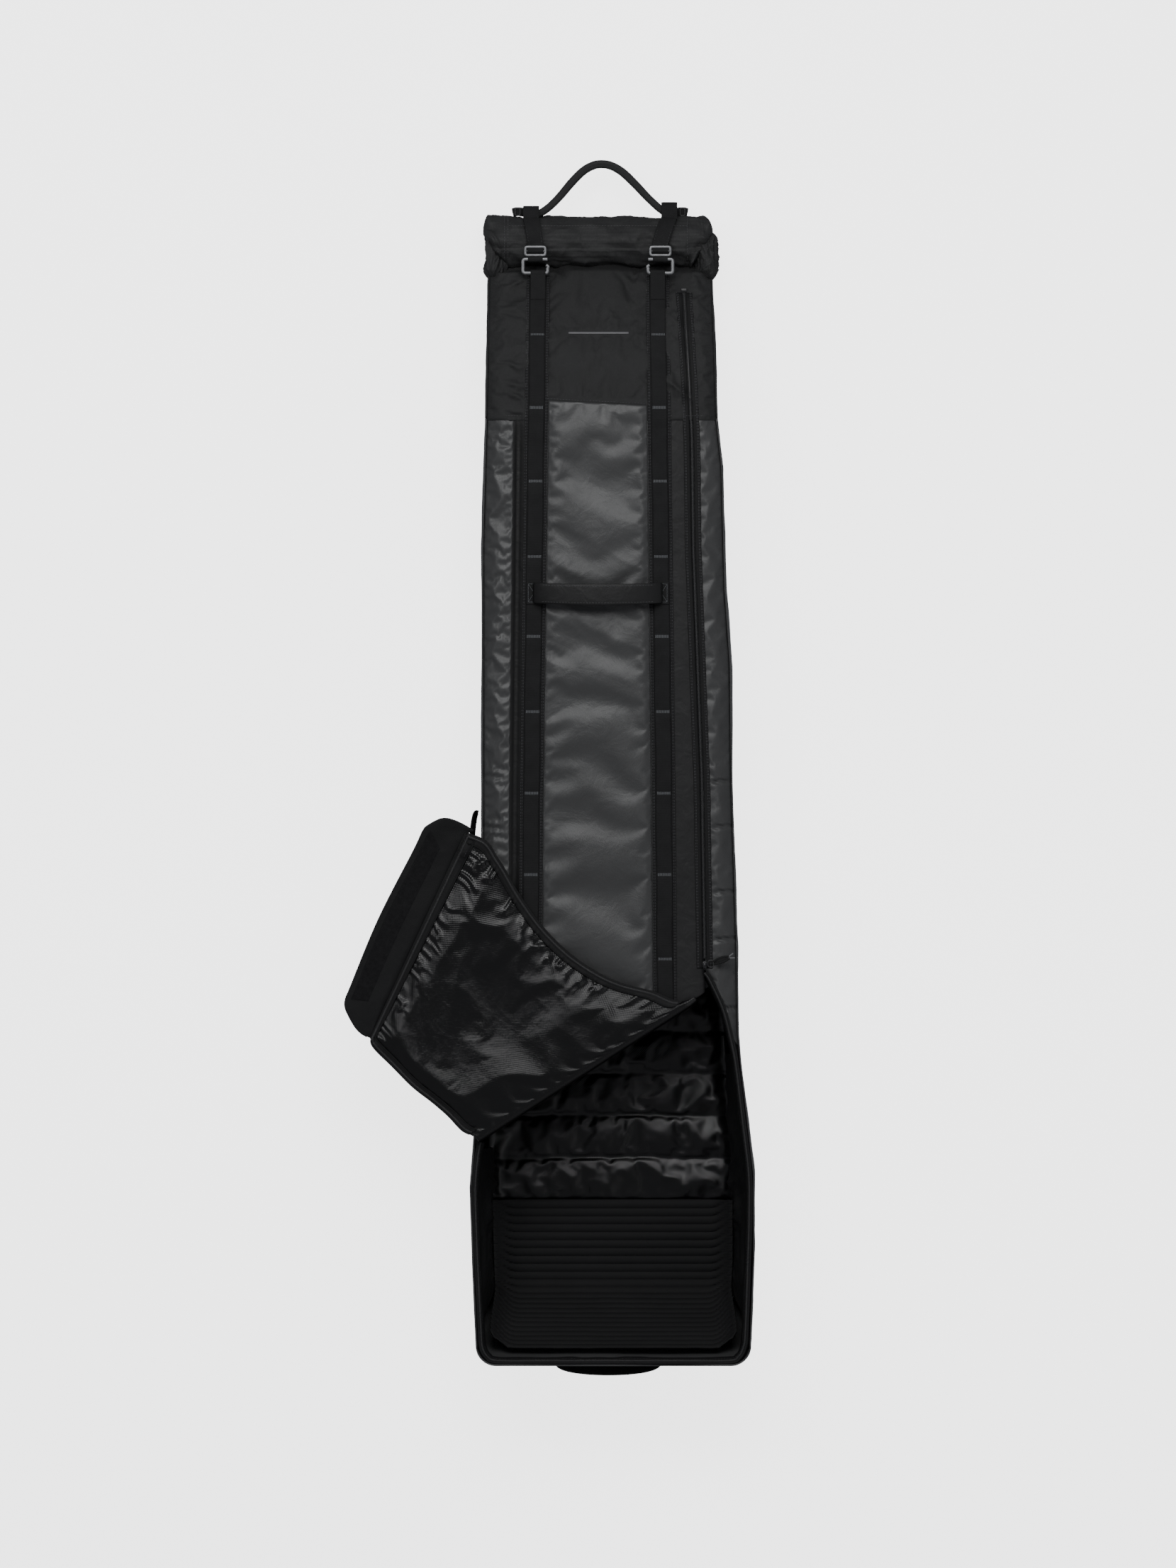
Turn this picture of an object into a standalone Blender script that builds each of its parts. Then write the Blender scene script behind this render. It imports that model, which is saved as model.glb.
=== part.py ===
"""Roll-top ski bag lying on its back, with the lower front panel folded open.

Metres. +X is the bag's right as it lies, +Y points to the roll, +Z is up from the ground.
"""
import math

import bpy
import numpy as np

# Outline of the bag seen from above: (y, x) stations on the left and on the right.
LEFT_EDGE = [(-0.933, -0.2105), (-0.802, -0.2160), (-0.663, -0.2207), (-0.575, -0.2130),
             (-0.480, -0.2040), (-0.041, -0.2006), (0.407, -0.2006), (0.6195, -0.1945),
             (0.872, -0.1900)]
RIGHT_EDGE = [(-0.933, 0.2420), (-0.781, 0.2480), (-0.640, 0.2480), (-0.559, 0.2385),
              (-0.465, 0.2270), (-0.407, 0.2220), (-0.254, 0.2195), (0.012, 0.2112),
              (0.207, 0.2089), (0.336, 0.2000), (0.537, 0.1950), (0.6195, 0.1860),
              (0.872, 0.1780)]
ZIP_LINE = [(-0.310, 0.1680), (0.018, 0.1628), (0.401, 0.1487), (0.584, 0.1463),
            (0.688, 0.1416), (0.8295, 0.1333)]
LEFT_SEAM = [(-0.600, -0.1600), (-0.041, -0.1580), (0.6195, -0.1510)]

# Levels and thicknesses.
BACK_THICK = 0.008
GAP = 0.0004
FRONT_Z = 0.1904
FRONT_THICK = 0.004
RIM_Z = 0.1860
NECK_Z = 0.0850
WALL_THICK = 0.004
BASE_INSET = 0.014
BULGE = 0.006

# Lengths along the bag.
SPLIT_Y = 0.620
NECK_Y = 0.868
RIM_END_Y = -0.956
BASE_END_Y = -0.852
CORNER_R = 0.031
RIM_START_LEFT = -0.590
RIM_START_RIGHT = -0.435
LINING_END_Y = -0.684

# Diagonal fold of the flap.
FOLD_A = (-0.2124, -0.5794)
FOLD_B = (0.1581, -0.3481)
FLAP_Z = 0.2016
FLAP_THICK = 0.003
HINGE_Z = 0.1980

# Roll at the top end.
ROLL_R = 0.0430
ROLL_Y = 0.9150
ROLL_Z = 0.0560
ROLL_X = (-0.1690, 0.1490)

# Webbing.
WEB_WIDTH = 0.0250
WEB_THICK = 0.0018
BACKING_WIDTH = 0.0390
BACKING_THICK = 0.0014
LEFT_WEB = [(-0.560, -0.1250), (-0.003, -0.1207), (0.873, -0.1095)]
RIGHT_WEB = [(-0.400, 0.1025), (-0.003, 0.0995), (0.873, 0.0890)]

TEXTILE = ((0.020, 0.021, 0.023), 0.85)
COATED = ((0.045, 0.046, 0.049), 0.45)
LINING = ((0.012, 0.012, 0.014), 0.22)
WEBBING = ((0.022, 0.022, 0.024), 0.80)
PADDING = ((0.030, 0.030, 0.033), 0.75)
ZIP_TAPE = ((0.016, 0.016, 0.018), 0.70)
ZIP_COIL = ((0.025, 0.025, 0.028), 0.35)
GUNMETAL = ((0.100, 0.103, 0.110), 0.35)


def clear_scene():
    """Remove every object of the start-up scene."""
    for obj in list(bpy.data.objects):
        bpy.data.objects.remove(obj)


def at(table, value):
    """Value of a (station, value) table at a station."""
    rows = sorted(table)
    return float(np.interp(value, [r[0] for r in rows], [r[1] for r in rows]))


def stations(start, end, count):
    """Evenly spaced stations from start to end."""
    return np.linspace(start, end, count)


def add_solid(name, verts, faces, look, metallic=0.0, origin=(0.0, 0.0, 0.0)):
    """Make one named solid with its own material; verts are in the bag's frame."""
    verts = np.asarray(verts, dtype=float) - np.asarray(origin, dtype=float)
    mesh = bpy.data.meshes.new(name)
    mesh.from_pydata([tuple(v) for v in verts], [], faces)
    mesh.validate()
    mesh.update()
    volume = 0.0
    for poly in mesh.polygons:
        ids = list(poly.vertices)
        for second, third in zip(ids[1:-1], ids[2:]):
            volume += np.dot(verts[ids[0]], np.cross(verts[second], verts[third]))
    if volume < 0.0:
        mesh.flip_normals()
    obj = bpy.data.objects.new(name, mesh)
    obj.location = origin
    bpy.context.scene.collection.objects.link(obj)
    material = bpy.data.materials.new(name)
    material.use_nodes = True
    shader = material.node_tree.nodes["Principled BSDF"]
    shader.inputs["Base Color"].default_value = (*look[0], 1.0)
    shader.inputs["Roughness"].default_value = look[1]
    shader.inputs["Metallic"].default_value = metallic
    mesh.materials.append(material)
    return obj


def loft(name, rings, look, metallic=0.0, closed=False, origin=(0.0, 0.0, 0.0)):
    """Skin between rings of equal length; ends are capped unless the loft is closed."""
    rings = [list(ring) for ring in rings]
    size = len(rings[0])
    verts = [point for ring in rings for point in ring]
    faces = []
    spans = len(rings) if closed else len(rings) - 1
    for i in range(spans):
        low = i * size
        high = ((i + 1) % len(rings)) * size
        for j in range(size):
            k = (j + 1) % size
            faces.append((low + j, low + k, high + k, high + j))
    if not closed:
        last = (len(rings) - 1) * size
        faces.append(tuple(reversed(range(size))))
        faces.append(tuple(range(last, last + size)))
    return add_solid(name, verts, faces, look, metallic, origin)


def prism(name, outline, z0, z1, look, metallic=0.0, origin=(0.0, 0.0, 0.0)):
    """Upright prism of a plan outline."""
    rings = [[(x, y, z) for x, y in outline] for z in (z0, z1)]
    return loft(name, rings, look, metallic, origin=origin)


SLOPE_Y = list(stations(SPLIT_Y, NECK_Y, 13))
SLOPE_Z = [FRONT_Z + (NECK_Z - FRONT_Z) * (1.0 - math.cos(math.pi / 2 * k / 12))
           for k in range(13)]
WALL_Y = list(stations(-0.9240, SPLIT_Y - 0.0003, 30))


def front_level(y):
    """Height of the front panel's underside: flat, then sloping down to the neck."""
    return float(np.interp(y, SLOPE_Y, SLOPE_Z))


def band(name, line, half_width, y_list, lift, thick, look, side=0.0):
    """Band lying on the front along a centre line; side shifts it across."""
    rings = []
    for y in y_list:
        x = at(line, y) + side
        z0 = front_level(y) + lift
        z1 = z0 + thick
        rings.append([(x - half_width, y, z0), (x + half_width, y, z0),
                      (x + half_width, y, z1), (x - half_width, y, z1)])
    return loft(name, rings, look)


def front_stations(low, high):
    """Stations of a band on the front: few on the flat part, more on the slope."""
    flat = [low, -0.003, 0.401, 0.537]
    return [y for y in flat if y >= low] + [y for y in SLOPE_Y if y < high] + [high]


def base_y(top_y):
    """The foot of a side wall ends earlier than its rim, because the end wall leans out."""
    part = np.clip((-0.600 - top_y) / (0.925 - 0.600), 0.0, 1.0)
    shift = (BASE_END_Y - RIM_END_Y) * part
    return top_y + shift


def side_point(side, top_y, level, inward, z_top):
    """Point of a side wall: level runs from 0 at its foot to 1 at its top edge."""
    edge = LEFT_EDGE if side < 0 else RIGHT_EDGE
    low_y = base_y(top_y)
    top = np.array([at(edge, top_y), top_y, z_top])
    foot = np.array([at(edge, top_y) - side * BASE_INSET, low_y, BACK_THICK + GAP])
    point = foot + (top - foot) * level
    point[0] += side * (BULGE * math.sin(math.pi * level) - inward)
    return tuple(point)


def wall_top(side, y):
    """Top of a side wall: under the front panel, or at the open rim."""
    if y > SPLIT_Y:
        return front_level(y) - GAP
    start = RIM_START_LEFT if side < 0 else RIM_START_RIGHT
    part = np.clip((start + 0.02 - y) / 0.02, 0.0, 1.0)
    return FRONT_Z - GAP + (RIM_Z - FRONT_Z + GAP) * part


def side_ribbon(name, side, y_list, look, inward=(0.0, WALL_THICK), span=(0.0, 1.0)):
    """Layer of a side wall between two depths and between two levels."""
    levels = stations(span[0], span[1], 5)
    rings = []
    for y in y_list:
        top = wall_top(side, y)
        outer = [side_point(side, y, level, inward[0], top) for level in levels]
        inner = [side_point(side, y, level, inward[1], top) for level in reversed(levels)]
        rings.append(outer + inner)
    return loft(name, rings, look)


def end_plan(part, y_end, inset):
    """Plan point of the end wall with rounded corners, and its inward direction."""
    left = at(LEFT_EDGE, -0.925) + inset
    right = at(RIGHT_EDGE, -0.925) - inset
    y_mid = y_end + CORNER_R
    if part < 0.25:
        turn = math.pi + part / 0.25 * math.pi / 2
        centre = left + CORNER_R
    elif part > 0.75:
        turn = 1.5 * math.pi + (part - 0.75) / 0.25 * math.pi / 2
        centre = right - CORNER_R
    else:
        share = (part - 0.25) / 0.5
        x = left + CORNER_R + (right - left - 2 * CORNER_R) * share
        return np.array([x, y_end]), np.array([0.0, 1.0])
    normal = np.array([math.cos(turn), math.sin(turn)])
    return np.array([centre, y_mid]) + CORNER_R * normal, -normal


def end_point(part, level, inward):
    """Point of the leaning end wall at a level from 0 at its foot to 1 at the rim."""
    top, way = end_plan(part, RIM_END_Y, 0.0)
    foot, _ = end_plan(part, BASE_END_Y, BASE_INSET)
    plan = foot + (top - foot) * level - way * BULGE * math.sin(math.pi * level)
    plan = plan + way * inward
    z = BACK_THICK + GAP + (RIM_Z - BACK_THICK - GAP) * level
    return (plan[0], plan[1], z)


def end_ribbon(name, parts, look, inward=(0.0, WALL_THICK), span=(0.0, 1.0)):
    """Layer of the end wall between two depths and two levels."""
    levels = stations(span[0], span[1], 5)
    rings = []
    for part in parts:
        outer = [end_point(part, level, inward[0]) for level in levels]
        inner = [end_point(part, level, inward[1]) for level in reversed(levels)]
        rings.append(outer + inner)
    return loft(name, rings, look)


def tube_rings(path, radii, across, sides=10):
    """Rings of an oval tube along a path; across is the fixed width direction."""
    path = np.asarray(path, dtype=float)
    across = np.asarray(across, dtype=float)
    rings = []
    for i, point in enumerate(path):
        ahead = path[min(i + 1, len(path) - 1)] - path[max(i - 1, 0)]
        ahead = ahead / np.linalg.norm(ahead)
        side = across - ahead * np.dot(across, ahead)
        side = side / np.linalg.norm(side)
        up = np.cross(ahead, side)
        ring = []
        for k in range(sides):
            turn = 2 * math.pi * (k + 0.5) / sides
            ring.append(tuple(point + side * radii[0] * math.cos(turn)
                              + up * radii[1] * math.sin(turn)))
        rings.append(ring)
    return rings


def strap_rings(path, half_width, thick, across):
    """Rings of a flat strap along a path; the path is the middle of its thickness."""
    path = np.asarray(path, dtype=float)
    across = np.asarray(across, dtype=float)
    rings = []
    for i, point in enumerate(path):
        ahead = path[min(i + 1, len(path) - 1)] - path[max(i - 1, 0)]
        ahead = ahead / np.linalg.norm(ahead)
        side = across - ahead * np.dot(across, ahead)
        side = side / np.linalg.norm(side)
        up = np.cross(ahead, side) * thick / 2
        wide = side * half_width
        rings.append([tuple(point - wide - up), tuple(point + wide - up),
                      tuple(point + wide + up), tuple(point - wide + up)])
    return rings


def cell_plate(name, origin, xs, ys, filled, z0, z1, look, metallic):
    """Plate made of the filled cells of a grid; empty cells are openings."""
    verts = []
    index = {}

    def corner(i, j, k):
        if (i, j, k) not in index:
            index[(i, j, k)] = len(verts)
            verts.append((origin[0] + xs[i], origin[1] + ys[j], (z0, z1)[k]))
        return index[(i, j, k)]

    def is_filled(i, j):
        inside = 0 <= i < len(xs) - 1 and 0 <= j < len(ys) - 1
        return inside and (i, j) in filled

    faces = []
    for i, j in sorted(filled):
        faces.append((corner(i, j, 1), corner(i + 1, j, 1),
                      corner(i + 1, j + 1, 1), corner(i, j + 1, 1)))
        faces.append((corner(i, j, 0), corner(i, j + 1, 0),
                      corner(i + 1, j + 1, 0), corner(i + 1, j, 0)))
        if not is_filled(i - 1, j):
            faces.append((corner(i, j, 0), corner(i, j, 1),
                          corner(i, j + 1, 1), corner(i, j + 1, 0)))
        if not is_filled(i + 1, j):
            faces.append((corner(i + 1, j, 0), corner(i + 1, j + 1, 0),
                          corner(i + 1, j + 1, 1), corner(i + 1, j, 1)))
        if not is_filled(i, j - 1):
            faces.append((corner(i, j, 0), corner(i + 1, j, 0),
                          corner(i + 1, j, 1), corner(i, j, 1)))
        if not is_filled(i, j + 1):
            faces.append((corner(i, j + 1, 0), corner(i, j + 1, 1),
                          corner(i + 1, j + 1, 1), corner(i + 1, j + 1, 0)))
    return add_solid(name, verts, faces, look, metallic, origin=origin)


def fold_y(x):
    """Y of the diagonal fold at an x."""
    slope = (FOLD_B[1] - FOLD_A[1]) / (FOLD_B[0] - FOLD_A[0])
    return FOLD_A[1] + slope * (x - FOLD_A[0])


def build_back():
    """Back panels, floor lining and floor pad."""
    low = stations(-0.925, SPLIT_Y - 0.0003, 24)
    left = [side_point(-1, y, 0.0, 0.0, RIM_Z)[:2] for y in low]
    right = [side_point(1, y, 0.0, 0.0, RIM_Z)[:2] for y in low]
    parts = stations(0.0, 1.0, 25)
    end = [end_point(part, 0.0, 0.0)[:2] for part in parts]
    prism("back_panel", right + left[::-1] + end[1:-1], 0.0, BACK_THICK, COATED)

    high = stations(SPLIT_Y + 0.0003, NECK_Y, 8)
    left = [side_point(-1, y, 0.0, 0.0, RIM_Z)[:2] for y in high]
    right = [side_point(1, y, 0.0, 0.0, RIM_Z)[:2] for y in high]
    prism("upper_back", right + left[::-1], 0.0, BACK_THICK, TEXTILE)

    inner = WALL_THICK + 0.0035
    span = stations(LINING_END_Y, 0.600, 22)
    left = [side_point(-1, y, 0.0, inner, RIM_Z)[0] for y in span]
    right = [side_point(1, y, 0.0, inner, RIM_Z)[0] for y in span]
    outline = [(x, y) for x, y in zip(right, span)]
    outline += [(x, y) for x, y in zip(left[::-1], span[::-1])]
    prism("back_lining", outline, BACK_THICK + GAP, BACK_THICK + 0.0080, LINING)

    span = stations(BASE_END_Y + 0.034, LINING_END_Y - 0.0005, 6)
    left = [(at(LEFT_EDGE, y) + BASE_INSET + inner + 0.006, y) for y in span]
    right = [(at(RIGHT_EDGE, y) - BASE_INSET - inner - 0.006, y) for y in span]
    foot = BASE_END_Y + 0.0120
    outline = right + left[::-1]
    outline += [(left[0][0] + 0.030, foot), (right[0][0] - 0.030, foot)]
    prism("floor_pad", outline, BACK_THICK + GAP, BACK_THICK + 0.0080, PADDING)


def build_walls():
    """Side walls, end wall and what lines them."""
    high = [SPLIT_Y + 0.0003] + SLOPE_Y[1:]
    for side, word in ((-1, "left"), (1, "right")):
        side_ribbon(word + "_wall", side, WALL_Y, COATED)
        side_ribbon(word + "_upper_wall", side, high, TEXTILE)
        start = RIM_START_LEFT if side < 0 else RIM_START_RIGHT
        open_part = [y for y in WALL_Y if y < start]
        side_ribbon(word + "_side_lining", side, open_part, LINING, (0.0052, 0.0080), (0.06, 0.86))
        side_ribbon(word + "_rim_tape", side, open_part, ZIP_TAPE, (0.0052, 0.0066), (0.88, 1.0))
    parts = stations(0.0, 1.0, 25)
    end_ribbon("end_wall", parts, COATED)
    middle = stations(0.06, 0.94, 21)
    end_ribbon("end_pad", middle, PADDING, (0.0058, 0.0110), (0.06, 0.84))
    end_ribbon("end_rim_tape", middle, ZIP_TAPE, (0.0058, 0.0072), (0.86, 1.0))
    ring_at = np.array(side_point(-1, -0.895, 0.62, 0.0105, RIM_Z))
    rings = []
    for k in range(16):
        turn = 2 * math.pi * k / 16
        out = np.array([0.0, math.cos(turn), math.sin(turn)])
        rings.append([tuple(ring_at + out * radius + np.array([shift, 0.0, 0.0]))
                      for radius, shift in ((0.0035, 0.0), (0.0065, 0.0),
                                            (0.0065, 0.0016), (0.0035, 0.0016))])
    loft("grommet", rings, GUNMETAL, 0.8, closed=True)


def build_front():
    """Front panels, upper front, centre panel, backing strips and webbings."""
    top = SPLIT_Y - 0.0003
    edge_y = stations(FOLD_A[1], top, 24)
    seam_end = fold_y(at(LEFT_SEAM, -0.545))
    seam_y = stations(seam_end, top, 12)
    seam = [(at(LEFT_SEAM, y) - 0.0003, y) for y in seam_y]
    edge = [(at(LEFT_EDGE, y), y) for y in edge_y]
    prism("left_side_panel", seam + edge[::-1], FRONT_Z, FRONT_Z + FRONT_THICK, COATED)

    zip_y = stations(-0.3400, top, 16)
    right = [(at(ZIP_LINE, y) - 0.0003, y) for y in zip_y]
    left = [(at(LEFT_SEAM, y) + 0.0003, y) for y in seam_y]
    prism("front_panel", right + left[::-1], FRONT_Z, FRONT_Z + FRONT_THICK, COATED)

    out_y = stations(-0.426, top, 20)
    outer = [(at(RIGHT_EDGE, y), y) for y in out_y]
    in_y = stations(-0.300, top, 14)
    inner = [(at(ZIP_LINE, y) + 0.0003, y) for y in in_y]
    inner = [(0.2150, -0.4260), (0.2015, -0.3640), (0.1790, -0.3150)] + inner
    prism("right_side_panel", outer + inner[::-1], FRONT_Z, FRONT_Z + FRONT_THICK, COATED)

    rings = []
    for y in [SPLIT_Y + 0.0003] + SLOPE_Y[1:]:
        left_x = at(LEFT_EDGE, y)
        right_x = at(RIGHT_EDGE, y)
        z = front_level(y)
        rings.append([(left_x, y, z), (right_x, y, z),
                      (right_x, y, z + FRONT_THICK), (left_x, y, z + FRONT_THICK)])
    loft("upper_front", rings, TEXTILE)

    lift = FRONT_THICK + GAP
    zip_stations = [-0.2960, 0.018, 0.401, 0.584]
    zip_stations += [y for y in SLOPE_Y if y < 0.8295] + [0.8295]
    for side, word in ((-1, "left"), (1, "right")):
        band("long_zip_tape_" + word, ZIP_LINE, 0.0045, zip_stations, lift, 0.0012,
             ZIP_TAPE, side * 0.0082)
    coil_stations = [-0.2820] + zip_stations[1:]
    band("long_zip_coil", ZIP_LINE, 0.0030, coil_stations, lift, 0.0032, ZIP_COIL)
    stop_y = [0.8302, 0.8372]
    band("zip_top_stop", ZIP_LINE, 0.0050, stop_y, lift, 0.0040, GUNMETAL)

    low_y = {"left": -0.4980, "right": -0.3600}
    lines = {"left": LEFT_WEB, "right": RIGHT_WEB}
    for word, line in lines.items():
        y_list = front_stations(low_y[word], 0.8600)
        band(word + "_backing", line, BACKING_WIDTH / 2, y_list, lift, BACKING_THICK, WEBBING)
        y_list = front_stations(low_y[word] + 0.002, 0.8520)
        band(word + "_webbing", line, WEB_WIDTH / 2, y_list, lift + BACKING_THICK + GAP,
             WEB_THICK, WEBBING)

    panel_y = stations(-0.395, 0.600, 9)
    left = [(at(LEFT_WEB, y) + BACKING_WIDTH / 2 + 0.0006, y) for y in panel_y]
    right = [(at(RIGHT_WEB, y) - BACKING_WIDTH / 2 - 0.0006, y) for y in panel_y]
    left[0] = (left[0][0], fold_y(left[0][0]) + 0.012)
    right[0] = (right[0][0], fold_y(right[0][0]) + 0.012)
    prism("centre_panel", right + left[::-1], FRONT_Z + lift, FRONT_Z + lift + 0.0020, COATED)


def build_roll():
    """Rolled top edge with its bunched ends."""
    sides = 24
    rings = []
    for x in stations(ROLL_X[0], ROLL_X[1], 10):
        swell = 1.0 - 0.02 * math.sin(9.0 * x)
        ring = []
        for k in range(sides):
            turn = 2 * math.pi * k / sides
            radius = ROLL_R * swell * (1.0 - 0.05 * k / sides)
            ring.append((x, ROLL_Y + radius * math.cos(turn), ROLL_Z + radius * math.sin(turn)))
        rings.append(ring)
    loft("top_roll", rings, TEXTILE)
    ends = {
        "roll_end_left": [(-0.1696, 0.0405, 0.0), (-0.1850, 0.0400, 0.001), (-0.1960, 0.0350, 0.0),
                          (-0.2030, 0.0250, -0.002)],
        "roll_end_right": [(0.1496, 0.0405, 0.0), (0.1640, 0.0400, 0.001), (0.1740, 0.0350, 0.004),
                           (0.1830, 0.0200, 0.014)],
    }
    for name, profile in ends.items():
        rings = []
        for x, radius, shift in profile:
            ring = []
            for k in range(sides):
                turn = 2 * math.pi * k / sides
                wave = radius * (1.0 + 0.06 * math.sin(5 * turn))
                ring.append((x, ROLL_Y + shift + wave * math.cos(turn),
                             ROLL_Z + wave * math.sin(turn)))
            rings.append(ring)
        loft(name, rings, TEXTILE)


def build_top_straps():
    """Straps over the roll with their slider frames and hook buckles."""
    reach = ROLL_R * 1.02 + 0.0024
    for side, x_far, x_near in ((-1, -0.1215, -0.1145), (1, 0.1090, 0.0940)):
        word = "left" if side < 0 else "right"
        path = [(x_far, ROLL_Y + reach + 0.009, 0.0120), (x_far, ROLL_Y + reach + 0.009, 0.0420)]
        for turn in stations(18.0, 118.0, 11):
            share = (turn - 18.0) / 100.0
            x = x_far + (x_near - x_far) * share
            path.append((x, ROLL_Y + reach * math.cos(math.radians(turn)),
                         ROLL_Z + reach * math.sin(math.radians(turn))))
        path.append((x_near, 0.8890, 0.1010))
        loft(word + "_top_strap", strap_rings(path, 0.0135, 0.0018, (1.0, 0.0, 0.0)), WEBBING)

        middle = (x_near, 0.8990)
        frame_x = [-0.0190, -0.0145, 0.0145, 0.0190]
        frame_y = [-0.0090, -0.0060, -0.0015, 0.0015, 0.0060, 0.0090]
        filled = {(i, j) for i in range(3) for j in range(5)} - {(1, 1), (1, 3)}
        cell_plate(word + "_strap_frame", (middle[0], middle[1], 0.0), frame_x, frame_y,
                   filled, 0.1046, 0.1074, GUNMETAL, 0.85)

        hook_x = [-0.0230, -0.0180, 0.0080, 0.0180, 0.0230]
        if side > 0:
            hook_x = [-x for x in reversed(hook_x)]
        hook_y = [-0.0145, -0.0095, -0.0030, 0.0085, 0.0130]
        arm = 0 if side < 0 else 3
        tip = 3 if side < 0 else 0
        filled = {(i, 0) for i in range(4)} | {(i, 3) for i in range(4)}
        filled |= {(arm, 1), (arm, 2), (tip, 1)}
        cell_plate(word + "_hook", (x_near, 0.8745, 0.1172), hook_x, hook_y, filled,
                   0.1152, 0.1190, GUNMETAL, 0.85)


def build_handles():
    """Top, front, bottom and side handles with what holds them."""
    path = []
    for turn in stations(0.0, 180.0, 17):
        x = -0.0063 + 0.0935 * math.cos(math.radians(turn))
        y = 0.9700 + 0.0735 * math.sin(math.radians(turn)) ** 0.80
        path.append((x, y, 0.0600))
    rings = tube_rings(path, (0.0050, 0.0050), (0.0, 0.0, 1.0), 8)
    loft("top_handle", rings, WEBBING, origin=(-0.0063, 0.9700, 0.0600))
    for word, x in (("left", -0.1440), ("right", 0.1310)):
        outline = [(x - 0.0065, 0.9640), (x + 0.0065, 0.9640),
                   (x + 0.0065, 0.9760), (x - 0.0065, 0.9760)]
        prism("top_loop_" + word, outline, 0.0350, 0.0560, GUNMETAL, 0.6)

    top = FRONT_Z + FRONT_THICK + GAP + BACKING_THICK + GAP + WEB_THICK
    for word, line in (("left", LEFT_WEB), ("right", RIGHT_WEB)):
        x = at(line, 0.3285)
        outline = [(x - 0.0125, 0.3100), (x + 0.0125, 0.3100), (x + 0.0125, 0.3470),
                   (x - 0.0125, 0.3470)]
        prism("handle_patch_" + word, outline, top + GAP, top + 0.0018, WEBBING)
    left_x = at(LEFT_WEB, 0.3285)
    right_x = at(RIGHT_WEB, 0.3285)
    low = top + 0.0018 + 0.0030 + 0.0022
    path = []
    for share in stations(0.0, 1.0, 21):
        x = left_x + (right_x - left_x) * share
        rise = 0.030 * math.sin(math.pi * share) ** 0.55
        path.append((x, 0.3285 - 0.003 * math.sin(math.pi * share), low + rise))
    loft("front_handle", tube_rings(path, (0.0180, 0.0022), (0.0, 1.0, 0.0), 8), COATED,
         origin=(0.0, 0.3285, low))

    path = []
    for turn in stations(0.0, 180.0, 15):
        x = 0.0070 + 0.0840 * math.cos(math.radians(turn))
        y = -0.9430 - 0.0330 * math.sin(math.radians(turn)) ** 0.70
        path.append((x, y, 0.1400))
    loft("bottom_handle", strap_rings(path, 0.0130, 0.0030, (0.0, 0.0, 1.0)), WEBBING,
         origin=(0.0070, -0.9430, 0.1400))

    path = []
    for turn in stations(0.0, 180.0, 13):
        y = -0.1300 + 0.0950 * math.cos(math.radians(turn))
        x = -0.2090 - 0.0260 * math.sin(math.radians(turn)) ** 0.70
        path.append((x, y, 0.1100))
    loft("side_handle", strap_rings(path, 0.0125, 0.0030, (0.0, 0.0, 1.0)), WEBBING,
         origin=(-0.2090, -0.1300, 0.1100))


def build_slider():
    """Zip slider with its ring and its cord puller."""
    x = at(ZIP_LINE, -0.2915)
    z0 = FRONT_Z + FRONT_THICK + GAP
    outline = [(x - 0.0030, -0.2990), (x + 0.0030, -0.2990), (x + 0.0050, -0.2840),
               (x - 0.0050, -0.2840)]
    prism("zip_slider", outline, z0 + 0.0036, z0 + 0.0100, GUNMETAL, 0.85,
          origin=(x, -0.2915, z0 + 0.0068))
    start = np.array([x + 0.0020, -0.2915, z0 + 0.0118])
    ahead = np.array([0.943, 0.332, 0.0])
    rings = []
    for k in range(16):
        turn = 2 * math.pi * k / 16
        middle = start + ahead * (0.0090 + 0.0060 * math.cos(turn))
        middle = middle + np.array([-0.332, 0.943, 0.0]) * 0.0060 * math.sin(turn)
        out = ahead * math.cos(turn) + np.array([-0.332, 0.943, 0.0]) * math.sin(turn)
        rings.append([tuple(middle + out * 0.0011 * math.cos(a) + np.array([0, 0, 1])
                            * 0.0011 * math.sin(a)) for a in stations(0.3, 5.0, 6)])
    loft("pull_ring", rings, GUNMETAL, 0.85, closed=True, origin=tuple(start))
    path = [tuple(start + ahead * d) for d in (0.0172, 0.0280, 0.0420, 0.0480)]
    loft("pull_cord", tube_rings(path, (0.0026, 0.0020), (-0.332, 0.943, 0.0), 8), WEBBING,
         origin=tuple(start))


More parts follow.
